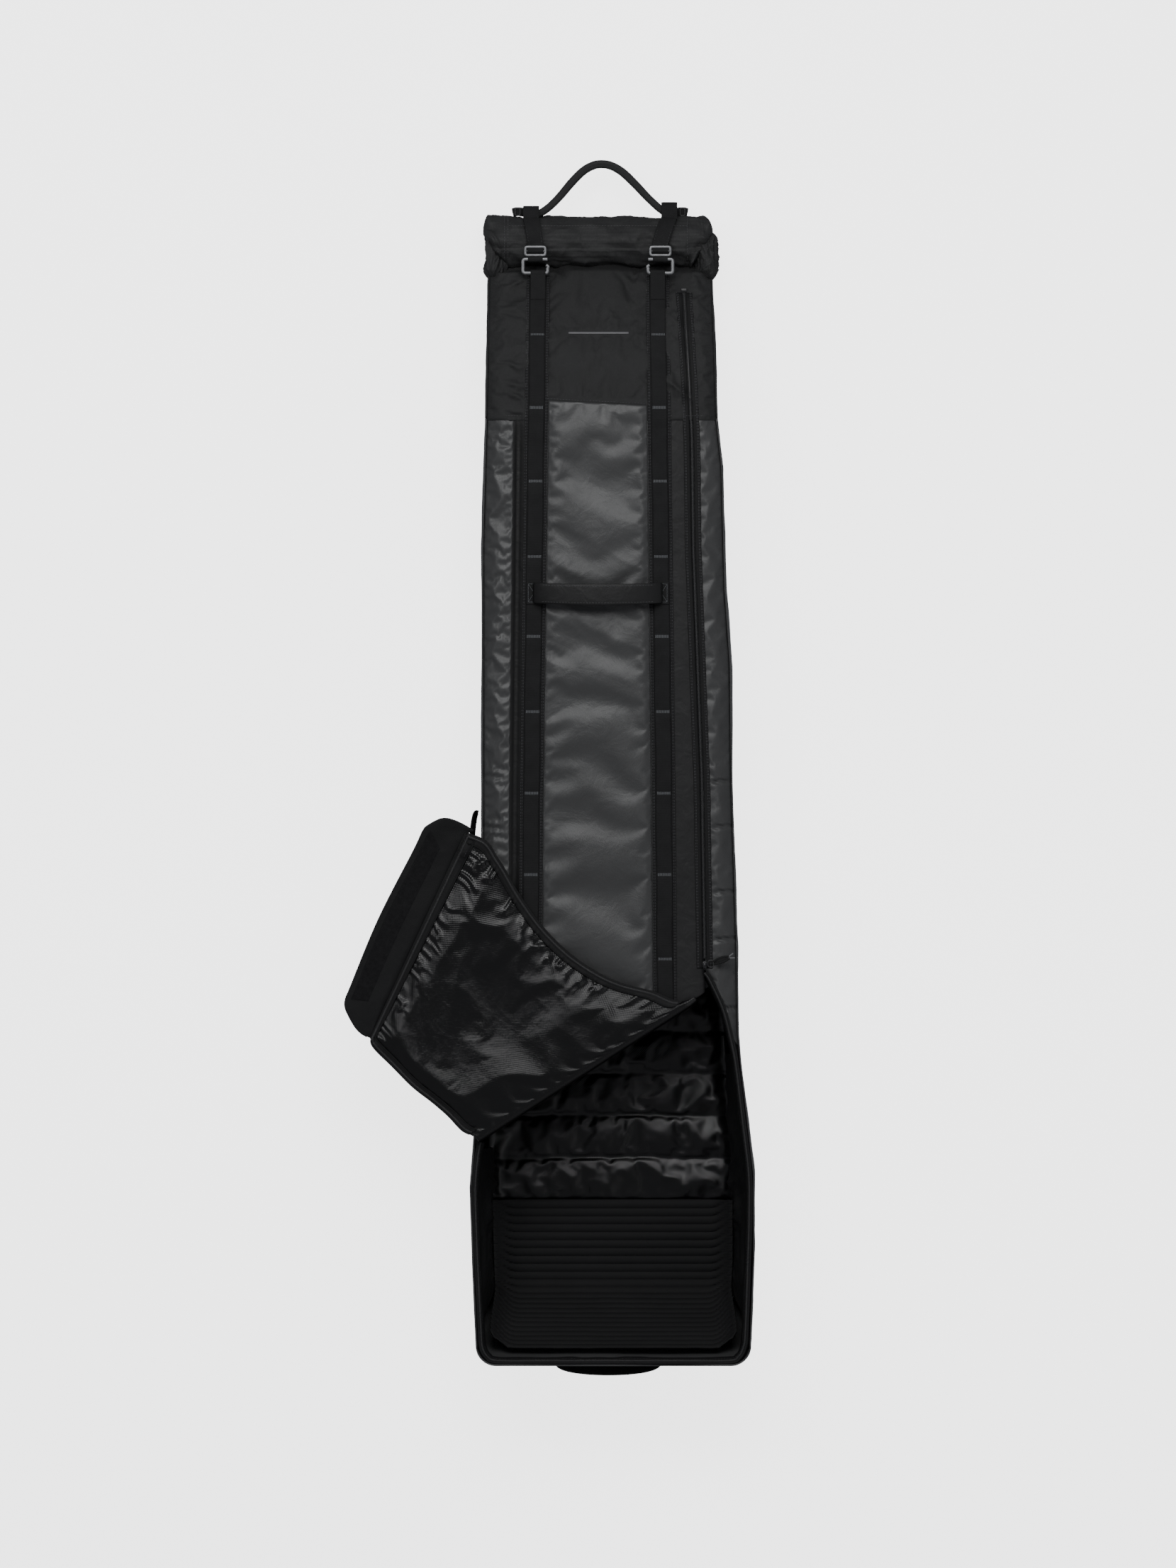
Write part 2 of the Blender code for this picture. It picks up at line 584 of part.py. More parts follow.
def build_flap():
    """Flap folded back over the front, its lining, zip tape, cover strip and band."""
    hinge = (FOLD_A[0], FOLD_A[1], HINGE_Z)
    zip_edge = [(0.1490, -0.3490), (0.1215, -0.3516), (0.0826, -0.3363), (0.0319, -0.3233),
                (-0.0106, -0.3044), (-0.0590, -0.2714), (-0.1038, -0.2266),
                (-0.1404, -0.1758), (-0.1664, -0.1310), (-0.1794, -0.1109),
                (-0.1971, -0.0826), (-0.2077, -0.0696), (-0.2270, -0.0710)]
    end_edge = [(-0.3882, -0.4130)]
    low_edge = [(-0.3823, -0.4283), (-0.3516, -0.4590), (-0.3186, -0.4921), (-0.2856, -0.5180),
                (-0.2596, -0.5404), (-0.2372, -0.5640), (-0.2159, -0.5747)]
    outline = zip_edge + end_edge + low_edge
    fold = [(x, fold_y(x) + 0.0010) for x in stations(-0.2000, 0.1480, 8)]
    prism("flap_panel", outline + fold, FLAP_Z, FLAP_Z + FLAP_THICK, COATED, origin=hinge)

    tape = 0.0140
    z0 = FLAP_Z + FLAP_THICK + GAP
    points = np.array(outline)
    ahead = np.gradient(points, axis=0)
    ahead = ahead / np.linalg.norm(ahead, axis=1)[:, None]
    inward = np.stack([-ahead[:, 1], ahead[:, 0]], axis=1)
    inner = points + inward * tape
    count = len(zip_edge) - 1
    edge = points[:count] + inward[:count] * 0.0006
    side = [tuple(p) for p in edge[1:]] + [tuple(p) for p in inner[1:count][::-1]]
    prism("flap_side_tape", side, z0, z0 + 0.0012, ZIP_TAPE, origin=hinge)

    corner = np.array([-0.3882, -0.4130])
    start = np.array([-0.2270, -0.0710])
    way = (corner - start) / np.linalg.norm(corner - start)
    right_of = np.array([-way[1], way[0]])
    first = start + way * 0.0160 + right_of * 0.0006
    last = corner - way * 0.0010 + right_of * 0.0006
    strip = [first, last, last + right_of * tape, first + right_of * tape]
    prism("flap_end_tape", [tuple(p) for p in strip], z0, z0 + 0.0012, ZIP_TAPE, origin=hinge)

    lining = [tuple(p) for p in (points + inward * (tape + 0.0060))[2:count - 2]]
    corner_in = start + way * 0.0300 + right_of * (tape + 0.0030)
    low_in = points + inward * 0.0040
    lining = lining + [tuple(corner_in), tuple(corner - way * 0.0120 + right_of * (tape + 0.0030))]
    lining = lining + [tuple(p) for p in low_in[count + 3:]]
    fold_in = [(x, fold_y(x) + 0.0040) for x in stations(-0.1900, 0.0850, 7)]
    prism("flap_lining", lining + fold_in, z0, z0 + 0.0012, LINING, origin=hinge)

    out = -right_of
    length = float(np.linalg.norm(corner - start))
    local = [(0.004, 0.0030), (length - 0.002, 0.0030), (length + 0.010, 0.0180),
             (length + 0.008, 0.0420), (length - 0.012, 0.0600), (length - 0.030, 0.0640),
             (0.060, 0.0670), (0.030, 0.0640), (0.008, 0.0540), (-0.008, 0.0300),
             (-0.006, 0.0120)]
    shape = [tuple(start + way * a + out * b) for a, b in local]
    strip_hinge = (start[0], start[1], FLAP_Z + 0.0052)
    prism("cover_strip", shape, FLAP_Z + 0.0006, FLAP_Z + 0.0026, COATED, origin=strip_hinge)
    local = [(0.040, 0.0280), (length - 0.020, 0.0260), (length - 0.024, 0.0560),
             (0.044, 0.0590)]
    shape = [tuple(start + way * a + out * b) for a, b in local]
    prism("hook_loop_band", shape, FLAP_Z + 0.0030, FLAP_Z + 0.0042, PADDING, origin=strip_hinge)


clear_scene()
build_back()
build_walls()
build_front()
build_roll()
build_top_straps()
build_handles()
build_slider()
build_flap()
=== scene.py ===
"""Finished roll-top ski bag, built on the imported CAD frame.

The bag lies on its back with the lower front folded open. Metres; +Y points to the roll.
"""

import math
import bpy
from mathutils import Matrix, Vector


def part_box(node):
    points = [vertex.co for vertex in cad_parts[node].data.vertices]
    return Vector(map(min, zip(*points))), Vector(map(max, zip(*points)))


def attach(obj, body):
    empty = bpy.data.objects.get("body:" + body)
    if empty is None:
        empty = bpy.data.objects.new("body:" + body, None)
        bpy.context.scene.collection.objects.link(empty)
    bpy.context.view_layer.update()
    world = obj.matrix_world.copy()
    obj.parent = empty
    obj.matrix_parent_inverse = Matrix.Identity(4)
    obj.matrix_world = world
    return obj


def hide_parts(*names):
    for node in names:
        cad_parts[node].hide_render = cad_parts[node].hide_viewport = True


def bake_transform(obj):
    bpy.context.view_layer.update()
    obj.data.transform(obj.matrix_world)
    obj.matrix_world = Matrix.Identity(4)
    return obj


bl_info = {
    "name": "Roll-top ski bag",
    "version": (1, 0, 0),
    "blender": (4, 5, 0),
    "location": "View3D > Sidebar > Ski bag",
    "description": "Builds the skins, webbing, zips, buckles and linings of a ski bag",
    "category": "Mesh",
}

import bmesh
import bpy
import numpy as np
from bpy.props import FloatProperty, FloatVectorProperty, PointerProperty

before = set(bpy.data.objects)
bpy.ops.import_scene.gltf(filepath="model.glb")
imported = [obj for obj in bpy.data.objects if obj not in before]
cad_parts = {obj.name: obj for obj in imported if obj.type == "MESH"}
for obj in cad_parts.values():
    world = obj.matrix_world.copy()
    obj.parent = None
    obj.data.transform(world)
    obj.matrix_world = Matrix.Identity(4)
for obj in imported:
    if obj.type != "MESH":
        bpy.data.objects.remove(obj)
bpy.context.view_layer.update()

# Plan outline of the bag: stations along the bag, then the left and right edges.
LEFT_Y = np.array([-0.933, -0.802, -0.663, -0.575, -0.480, -0.041, 0.407, 0.6195, 0.872])
LEFT_X = np.array([-0.2105, -0.2160, -0.2207, -0.2130, -0.2040, -0.2006, -0.2006, -0.1945,
                   -0.1900])
RIGHT_Y = np.array([-0.933, -0.781, -0.640, -0.559, -0.465, -0.407, -0.254, 0.012, 0.207, 0.336,
                    0.537, 0.6195, 0.872])
RIGHT_X = np.array([0.2420, 0.2480, 0.2480, 0.2385, 0.2270, 0.2220, 0.2195, 0.2112, 0.2089, 0.2000,
                    0.1950, 0.1860, 0.1780])
ZIP_Y = np.array([-0.310, 0.018, 0.401, 0.584, 0.688, 0.8295])
ZIP_X = np.array([0.1680, 0.1628, 0.1487, 0.1463, 0.1416, 0.1333])
SEAM_Y = np.array([-0.600, -0.041, 0.6195])
SEAM_X = np.array([-0.1600, -0.1580, -0.1510])
LEFT_WEB = (np.array([-0.560, -0.003, 0.873]), np.array([-0.1250, -0.1207, -0.1095]))
RIGHT_WEB = (np.array([-0.400, -0.003, 0.873]), np.array([0.1025, 0.0995, 0.0890]))
SPLIT_Y = 0.620
NECK_Y = 0.868
FRONT_TOP = 0.1944
NECK_TOP = 0.0890
RIM_Z = 0.1860
FLOOR_Z = 0.0084
BASE_INSET = 0.014
RIM_END_Y = -0.956
BASE_END_Y = -0.852
CORNER_R = 0.031
FOLD_A = np.array([-0.2124, -0.5794])
FOLD_B = np.array([0.1581, -0.3481])
FOLD_WAY = (FOLD_B - FOLD_A) / np.linalg.norm(FOLD_B - FOLD_A)
FOLD_OUT = np.array([-FOLD_WAY[1], FOLD_WAY[0]])
ROLL_Y, ROLL_Z, ROLL_R = 0.9150, 0.0560, 0.0430
ROLL_LEFT, ROLL_RIGHT = -0.2030, 0.1830
ROLL_SKIN_R = ROLL_R * 1.02
HOOK_Y, HOOK_Z, HOOK_LOW = 0.8745, 0.1171, 0.0122
HANDLE_Y = 0.3285
ZIP_TOP_Y = 0.8295
FLAP_Z = 0.2050
# The lower ends of the wall skins, of the linings in front of them, and of the back skin.
WALL_LOW_Y, LINING_LOW_Y, BACK_LOW_Y = -0.9280, -0.9235, -0.8505
BACKING_EDGE = 0.0204
SKIN_THICK = 0.0028
BACK_THICK = 0.0079
STITCH_LONG, STITCH_WIDE = 0.0036, 0.0007
SEAM_TUCK = 0.0015
CLOTH_FRAMES = 16
CAMERA_DISTANCE = 60.0
VIEW_HEIGHT = 2.610


# ---------------------------------------------------------------- shape arithmetic

def smooth(t):
    """Zero below 0, one above 1, and 3t^2 - 2t^3 in between."""
    t = np.clip(t, 0.0, 1.0)
    return t * t * (3.0 - 2.0 * t)


def lattice(ix, iy, seed):
    """Repeatable value from -1 to 1 at each whole-number point."""
    value = np.sin(ix * 127.1 + iy * 311.7 + seed * 74.7) * 43758.5453
    return 2.0 * (value - np.floor(value)) - 1.0


def noise(x, y, seed=0):
    """Lattice values blended smoothly between the four points round (x, y)."""
    ix, iy = np.floor(x), np.floor(y)
    fx, fy = smooth(x - ix), smooth(y - iy)
    low = lattice(ix, iy, seed) * (1 - fx) + lattice(ix + 1, iy, seed) * fx
    high = lattice(ix, iy + 1, seed) * (1 - fx) + lattice(ix + 1, iy + 1, seed) * fx
    return low * (1 - fy) + high * fy


def rumple(x, y, seed=0, octaves=4):
    """Sum of noises, each twice as fine and half as high as the one before."""
    total = np.zeros(np.broadcast(x, y).shape)
    for k in range(octaves):
        total = total + noise(x * 2.0 ** k, y * 2.0 ** k, seed + k) / 2.0 ** k
    return total


def creases(x, y, seed=0, octaves=3):
    """Sharp ridges where a noise crosses zero: one minus its size, squared, summed."""
    total = np.zeros(np.broadcast(x, y).shape)
    bend_x = x + 0.5 * noise(x * 0.7, y * 0.7, seed + 11)
    bend_y = y + 0.5 * noise(x * 0.7 + 9.0, y * 0.7, seed + 12)
    for k in range(octaves):
        ridge = 1.0 - np.abs(noise(bend_x * 1.9 ** k, bend_y * 1.9 ** k, seed + k))
        total = total + ridge ** 3 / 1.9 ** k
    return total - 0.6


def bump(distance, width):
    """Bell of height one and the given half width."""
    return np.exp(-(distance / width) ** 2)


def left_edge(y):
    """X of the bag's left edge."""
    return np.interp(y, LEFT_Y, LEFT_X)


def right_edge(y):
    """X of the bag's right edge."""
    return np.interp(y, RIGHT_Y, RIGHT_X)


def zip_x(y):
    """X of the long zip's middle line."""
    return np.interp(y, ZIP_Y, ZIP_X)


def seam_x(y):
    """X of the left seam of the front."""
    return np.interp(y, SEAM_Y, SEAM_X)


def web_x(line, y):
    """X of a webbing's middle line."""
    return np.interp(y, line[0], line[1])


def fold_y(x):
    """Y of the diagonal fold."""
    return FOLD_A[1] + (x - FOLD_A[0]) * FOLD_WAY[1] / FOLD_WAY[0]


def slope_z(y):
    """Height of the front: level, then falling as a quarter cosine to the neck."""
    part = np.clip((y - SPLIT_Y) / (NECK_Y - SPLIT_Y), 0.0, 1.0)
    return FRONT_TOP + (NECK_TOP - FRONT_TOP) * (1.0 - np.cos(np.pi / 2 * part))


QUILT_RIGHT = (0.0153, -0.0602, -0.1687, -0.2478, -0.3634)
QUILT_LEFT = (0.0224, -0.0625, -0.2600)


def front_z(x, y):
    """Height of the front skin: base level, rounded shoulders, seams, quilting, creases, and the
    gathers of the upper front."""
    z = slope_z(y)
    for gap in (x - left_edge(y), right_edge(y) - x):
        z = z - 0.016 * (1.0 - np.clip(gap / 0.034, 0.0, 1.0)) ** 2
    z = z + 0.0016 * bump(x - seam_x(y), 0.0022) * (y < SPLIT_Y)
    z = z - 0.0060 * bump(x - seam_x(y) - 0.0090, 0.0060) * smooth((SPLIT_Y + 0.05 - y) / 0.1)
    z = z - 0.0022 * bump(x - zip_x(y), 0.0140)
    right = smooth((x - zip_x(y) - 0.012) / 0.012)
    left = smooth((seam_x(y) - 0.006 - x) / 0.010)
    for row in QUILT_RIGHT:
        z = z - right * 0.0046 * bump(y - row - 0.06 * (x - 0.2), 0.0030)
        z = z + right * 0.0016 * bump(y - row - 0.018, 0.014)
    for row in QUILT_LEFT:
        z = z - left * 0.0030 * bump(y - row + 0.10 * (x + 0.18), 0.0040)
    cloth = smooth((y - SPLIT_Y + 0.02) / 0.06)
    z = z + (1 - cloth) * 0.0007 * rumple(x * 14, y * 9, 3)
    z = z + (1 - cloth) * left * 0.0013 * creases(x * 22, y * 10, 7)
    z = z + (1 - cloth) * right * 0.0007 * creases(x * 16, y * 9, 17)
    z = z + cloth * 0.0022 * rumple(x * 12, y * 6, 5)
    gather = (1 - np.abs(noise(y * 44 + noise(x * 30, y * 8, 9), x * 12, 11))) ** 3
    z = z + cloth * 0.0085 * gather * bump(x - web_x(LEFT_WEB, y) + 0.034, 0.015)
    gather = (1 - np.abs(noise((y + 0.75 * x) * 19, (x - y) * 4, 13))) ** 2
    z = z + cloth * 0.0120 * gather * bump(x - 0.118, 0.022) * smooth((0.86 - y) / 0.05)
    gather = (1 - np.abs(noise((y - 0.5 * x) * 26, (x + y) * 5, 15))) ** 3
    z = z + cloth * 0.0050 * gather * smooth((x - zip_x(y) - 0.012) / 0.012)
    lengthwise = np.sin(x * 95 + 2.0 * noise(x * 9, y * 7, 2))
    return z + cloth * 0.0022 * smooth((y - 0.72) / 0.12) * lengthwise


def front_point(x, y, lift):
    """Points on the front skin, raised by lift."""
    return np.stack([x, y, front_z(x, y) + lift], axis=-1)


# ---------------------------------------------------------------- mesh making

def part(verts, quads, uv, tris=None, slot=0):
    """One closed part of a piece: points, four-sided and three-sided faces, and uv in metres."""
    tris = np.zeros((0, 3), int) if tris is None else tris
    corner = verts[quads]
    fans = [corner[:, [0, 1, 2]], corner[:, [0, 2, 3]], verts[tris]]
    volume = sum(np.einsum("ij,ij->", f[:, 0], np.cross(f[:, 1], f[:, 2])) for f in fans)
    if volume < 0:
        quads, tris = quads[:, ::-1], tris[:, ::-1]
    return {"verts": verts, "quads": quads, "tris": tris, "uv": uv, "slot": slot}


def reach_of(path):
    """Running length along a path."""
    return np.concatenate([[0.0], np.cumsum(np.linalg.norm(np.diff(path, axis=0), axis=1))])


def at_reach(reach, want, values):
    """Rows of values read off where the running length is as wanted."""
    return np.stack([np.interp(want, reach, column) for column in values.T], -1)


def unit(ways):
    """Directions of length one."""
    return ways / np.linalg.norm(ways, axis=1, keepdims=True)


def across_of(side, ahead):
    """Unit directions near side and square to ahead."""
    return unit(side - ahead * np.einsum("ij,ij->i", side, ahead)[:, None])


def grid_quads(index):
    """Four-sided faces between neighbouring points of a grid of indices."""
    quads = np.stack([index[:-1, :-1], index[1:, :-1], index[1:, 1:], index[:-1, 1:]], -1)
    return quads.reshape(-1, 4)


def arc_lengths(grid, axis):
    """Running length along one direction of a grid, averaged over the other."""
    step = np.linalg.norm(np.diff(grid, axis=axis), axis=2).mean(axis=1 - axis)
    return np.concatenate([[0.0], np.cumsum(step)])


def skin(grid, thickness, slot=0, flip=False):
    """Thin closed sheet: the grid is one face, the other is set back along the normals,
    and the rim between them is rounded by a middle row pushed out half the thickness."""
    nu, nv = grid.shape[:2]
    normal = np.cross(np.gradient(grid, axis=0), np.gradient(grid, axis=1))
    normal = normal / (np.linalg.norm(normal, axis=2, keepdims=True) + 1e-12)
    if flip:
        normal = -normal
    back = grid - normal * thickness
    index = np.arange(nu * nv).reshape(nu, nv)
    quads = grid_quads(index)
    rim = np.concatenate([index[:-1, 0], index[-1, :-1], index[:0:-1, -1], index[0, :0:-1]])
    flat, flat_back = grid.reshape(-1, 3), back.reshape(-1, 3)
    inner = np.concatenate([index[:-1, 1], index[-2, :-1], index[:0:-1, -2], index[1, :0:-1]])
    outward = flat[rim] - flat[inner]
    outward = outward / (np.linalg.norm(outward, axis=1, keepdims=True) + 1e-12)
    middle = (flat[rim] + flat_back[rim]) / 2 + outward * thickness * 0.5
    count = nu * nv
    ahead = np.roll(np.arange(len(rim)), -1)
    here = np.arange(len(rim))
    side = np.stack([rim[here], rim[ahead], 2 * count + ahead, 2 * count + here], -1)
    low = np.stack([2 * count + here, 2 * count + ahead, rim[ahead] + count, rim[here] + count],
                   -1)
    faces = np.concatenate([quads[:, ::-1], quads + count, side, low])
    u = np.broadcast_to(arc_lengths(grid, 0)[:, None], (nu, nv)).reshape(-1)
    v = np.broadcast_to(arc_lengths(grid, 1)[None, :], (nu, nv)).reshape(-1)
    uv = np.stack([u, v], -1)
    return part(np.concatenate([flat, flat_back, middle]), faces,
                np.concatenate([uv, uv, uv[rim]]), slot=slot)


def oval(width, thick, count=16, square=0.45):
    """Closed profile of a strap: a squarish oval of the given width and thickness."""
    turn = (np.arange(count) + 0.5) * 2 * np.pi / count
    a, b = np.cos(turn), np.sin(turn)
    return np.stack([width / 2 * np.sign(a) * np.abs(a) ** square,
                     thick / 2 * np.sign(b) * np.abs(b) ** square], -1)


def frames_along(path, side, closed=False):
    """Unit side and up directions along a path, from a rough side direction."""
    if closed:
        ahead = np.roll(path, -1, axis=0) - np.roll(path, 1, axis=0)
    else:
        ahead = np.gradient(path, axis=0)
    ahead = unit(ahead)
    side = across_of(np.broadcast_to(np.asarray(side, float), path.shape), ahead)
    return side, np.cross(ahead, side)


def sweep(path, side, profile, closed=False, slot=0):
    """Profile carried along a path: each ring is the path point plus a times side plus b times
    up, where (a, b) is a profile point. Open ends are closed by a fan to the middle."""
    path = np.asarray(path, float)
    side, up = frames_along(path, side, closed)
    if profile.ndim == 2:
        profile = np.broadcast_to(profile, (len(path),) + profile.shape)
    rings = (path[:, None] + side[:, None] * profile[..., :1] + up[:, None] * profile[..., 1:])
    n, m = rings.shape[:2]
    index = np.arange(n * m).reshape(n, m)
    beside = np.roll(index, -1, axis=1)
    if closed:
        nxt, nxt_beside = np.roll(index, -1, axis=0), np.roll(beside, -1, axis=0)
        quads = np.stack([index, beside, nxt_beside, nxt], -1).reshape(-1, 4)
    else:
        quads = np.stack([index[:-1], beside[:-1], beside[1:], index[1:]], -1).reshape(-1, 4)
    verts = rings.reshape(-1, 3)
    around, lengthwise = reach_of(profile[0])[None, :], reach_of(path)[:, None]
    uv = np.stack(np.broadcast_arrays(around, lengthwise), -1).reshape(-1, 2)
    tris = None
    if not closed:
        verts = np.concatenate([verts, path[:1], path[-1:]])
        uv = np.concatenate([uv, uv[:1], uv[-1:]])
        first = np.stack([beside[0], index[0], np.full(m, n * m)], -1)
        last = np.stack([index[-1], beside[-1], np.full(m, n * m + 1)], -1)
        tris = np.concatenate([first, last])
    return part(verts, quads, uv, tris, slot)


def strap(path, side, width, thick, count=16):
    """Flat strap of squarish oval section along a path."""
    return sweep(path, side, oval(width, thick, count))


def resample(points, count):
    """Points evenly spaced along a smooth curve through the given ones."""
    points = np.asarray(points, float)
    tangent = np.gradient(points, axis=0)
    fine = np.linspace(0, len(points) - 1, 40 * len(points))
    low = np.minimum(fine.astype(int), len(points) - 2)
    t = (fine - low)[:, None]
    curve = ((2 * t ** 3 - 3 * t ** 2 + 1) * points[low] + (t ** 3 - 2 * t ** 2 + t) * tangent[low]
             + (3 * t ** 2 - 2 * t ** 3) * points[low + 1] + (t ** 3 - t ** 2) * tangent[low + 1])
    reach = reach_of(curve)
    return at_reach(reach, np.linspace(0, reach[-1], count), curve)


def copies(shape, places, slot=0):
    """One part made of many moved copies of a small shape: places are (point, side, ahead)."""
    verts, quads, uv = shape["verts"], shape["quads"], shape["uv"]
    spot, side, ahead = places
    up = np.cross(side, ahead)
    turned = (spot[:, None] + verts[None, :, :1] * side[:, None] + verts[None, :, 1:2]
              * ahead[:, None] + verts[None, :, 2:] * up[:, None])
    shift = (np.arange(len(spot)) * len(verts))[:, None, None]
    return {"verts": turned.reshape(-1, 3), "quads": (quads[None] + shift).reshape(-1, 4),
            "tris": (shape["tris"][None] + shift).reshape(-1, 3),
            "uv": np.tile(uv, (len(spot), 1)), "slot": slot}


def pill(length, width, height):
    """Small rounded stitch or tooth: a short oval sweep, tapered at both ends."""
    y = np.array([-0.5, -0.38, 0.0, 0.38, 0.5]) * length
    path = np.stack([np.zeros(5), y, np.zeros(5)], -1)
    size = np.array([0.35, 0.85, 1.0, 0.85, 0.35])
    base = oval(width, height, 6, 1.0)
    return sweep(path, (1.0, 0.0, 0.0), base[None] * size[:, None, None])


def along(path, side, pitch, offset=0.0):
    """Places every pitch along a path: (points, side directions, forward directions)."""
    reach = reach_of(path)
    want = np.arange(pitch / 2, reach[-1], pitch)
    ahead = unit(at_reach(reach, want, np.gradient(path, axis=0)))
    side = np.broadcast_to(np.asarray(side, float), path.shape)
    side = across_of(at_reach(reach, want, side), ahead)
    return at_reach(reach, want, path) + side * offset, side, ahead


def stitches(path, side, offset=0.0, pitch=0.0050, slot=1):
    """Row of stitches beside a path, in a piece's second finish unless told otherwise."""
    stitch = pill(STITCH_LONG, STITCH_WIDE, STITCH_WIDE)
    return copies(stitch, along(path, side, pitch, offset), slot)


def seams(path, side, offsets, lift):
    """Rows of stitches at several offsets from a path, raised by lift: (x, y, z)."""
    return [stitches(path + lift, side, offset) for offset in offsets]


def piece(name, parts, materials, body, nodes=()):
    """Make one object from closed parts, give it its materials and let it ride on a body."""
    if isinstance(parts, dict):
        parts = [parts]
    verts, sizes, loops, slots, uvs = [], [], [], [], []
    start = 0
    for item in parts:
        verts.append(item["verts"])
        for faces, size in ((item["quads"], 4), (item["tris"], 3)):
            loops.append((faces + start).reshape(-1))
            sizes.append(np.full(len(faces), size))
            slots.append(np.full(len(faces), item["slot"]))
            uvs.append(item["uv"][faces.reshape(-1)])
        start += len(item["verts"])
    verts, loops = np.concatenate(verts), np.concatenate(loops)
    sizes, slots, uvs = np.concatenate(sizes), np.concatenate(slots), np.concatenate(uvs)
    mesh = bpy.data.meshes.new(name)
    mesh.vertices.add(len(verts))
    mesh.vertices.foreach_set("co", verts.astype(np.float32).reshape(-1))
    mesh.loops.add(len(loops))
    mesh.loops.foreach_set("vertex_index", loops.astype(np.int32))
    mesh.polygons.add(len(sizes))
    mesh.polygons.foreach_set("loop_start", (np.cumsum(sizes) - sizes).astype(np.int32))
    mesh.polygons.foreach_set("material_index", slots.astype(np.int32))
    layer = mesh.uv_layers.new(name="Surface")
    layer.uv.foreach_set("vector", uvs.astype(np.float32).reshape(-1))
    mesh.polygons.foreach_set("use_smooth", np.ones(len(sizes), bool))
    mesh.update(calc_edges=True)
    mesh.validate()
    obj = bpy.data.objects.new(name, mesh)
    bpy.context.scene.collection.objects.link(obj)
    for material in materials:
        mesh.materials.append(material)
    if body:
        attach(obj, body)
    if nodes:
        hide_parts(*nodes)
    return obj


# ---------------------------------------------------------------- cloth

def finer(grid):
    """Grid with twice the rows and columns: each new point is nine times its two neighbours less
    the two beyond, over sixteen."""
    for axis in (0, 1):
        rows = np.moveaxis(grid, axis, 0)
        wide = np.concatenate([2 * rows[:1] - rows[1:2], rows, 2 * rows[-1:] - rows[-2:-1]])
        middle = (9 * (wide[1:-2] + wide[2:-1]) - wide[:-3] - wide[3:]) / 16
        both = np.empty((2 * len(rows) - 1,) + rows.shape[1:])
        both[::2], both[1::2] = rows, middle
        grid = np.moveaxis(both, 0, axis)
    return grid


def settle(grid, held, grow, near=None, grow_near=0.0, pressure=0.0, stiff=1.0, cap=0.006):
    """Cloth simulation of a grid held at some points. The cloth is cut larger than its place by
    the share grow, or grow_near where the weights near are one, so it buckles between the held
    points, and pressure lifts it along its normals. No point moves further than about cap."""
    nu, nv = grid.shape[:2]
    index = np.arange(nu * nv).reshape(nu, nv)
    mesh = bpy.data.meshes.new("cloth")
    mesh.from_pydata(grid.reshape(-1, 3).tolist(), [], grid_quads(index).tolist())
    obj = bpy.data.objects.new("cloth", mesh)
    scene = bpy.context.scene
    scene.collection.objects.link(obj)
    obj.vertex_groups.new(name="held").add(index[held].tolist(), 1.0, "REPLACE")
    modifier = obj.modifiers.new("cloth", "CLOTH")
    cloth = modifier.settings
    if near is not None:
        group = obj.vertex_groups.new(name="near")
        level = np.round(near * 8).astype(int)
        for step in range(1, 9):
            group.add(index[level == step].tolist(), step / 8, "REPLACE")
        cloth.vertex_group_shrink = "near"
        cloth.shrink_max = -grow_near
    cloth.shrink_min = -grow
    cloth.vertex_group_mass = "held"
    cloth.quality = 6
    cloth.air_damping = 4.0
    cloth.bending_stiffness = stiff
    cloth.effector_weights.gravity = 0.0
    cloth.use_pressure = pressure > 0.0
    cloth.uniform_pressure_force = pressure
    modifier.collision_settings.use_collision = False
    modifier.point_cache.frame_start, modifier.point_cache.frame_end = 1, CLOTH_FRAMES
    for frame_number in range(1, CLOTH_FRAMES + 1):
        scene.frame_set(frame_number)
    shaped = obj.evaluated_get(bpy.context.evaluated_depsgraph_get())
    flat = np.empty(3 * nu * nv, np.float32)
    shaped.data.vertices.foreach_get("co", flat)
    bpy.data.objects.remove(obj)
    bpy.data.meshes.remove(mesh)
    scene.frame_set(1)
    move = flat.reshape(nu, nv, 3).astype(float) - grid
    size = np.linalg.norm(move, axis=2, keepdims=True) + 1e-9
    return grid + move * cap * np.tanh(size / cap) / size


# ---------------------------------------------------------------- finishes

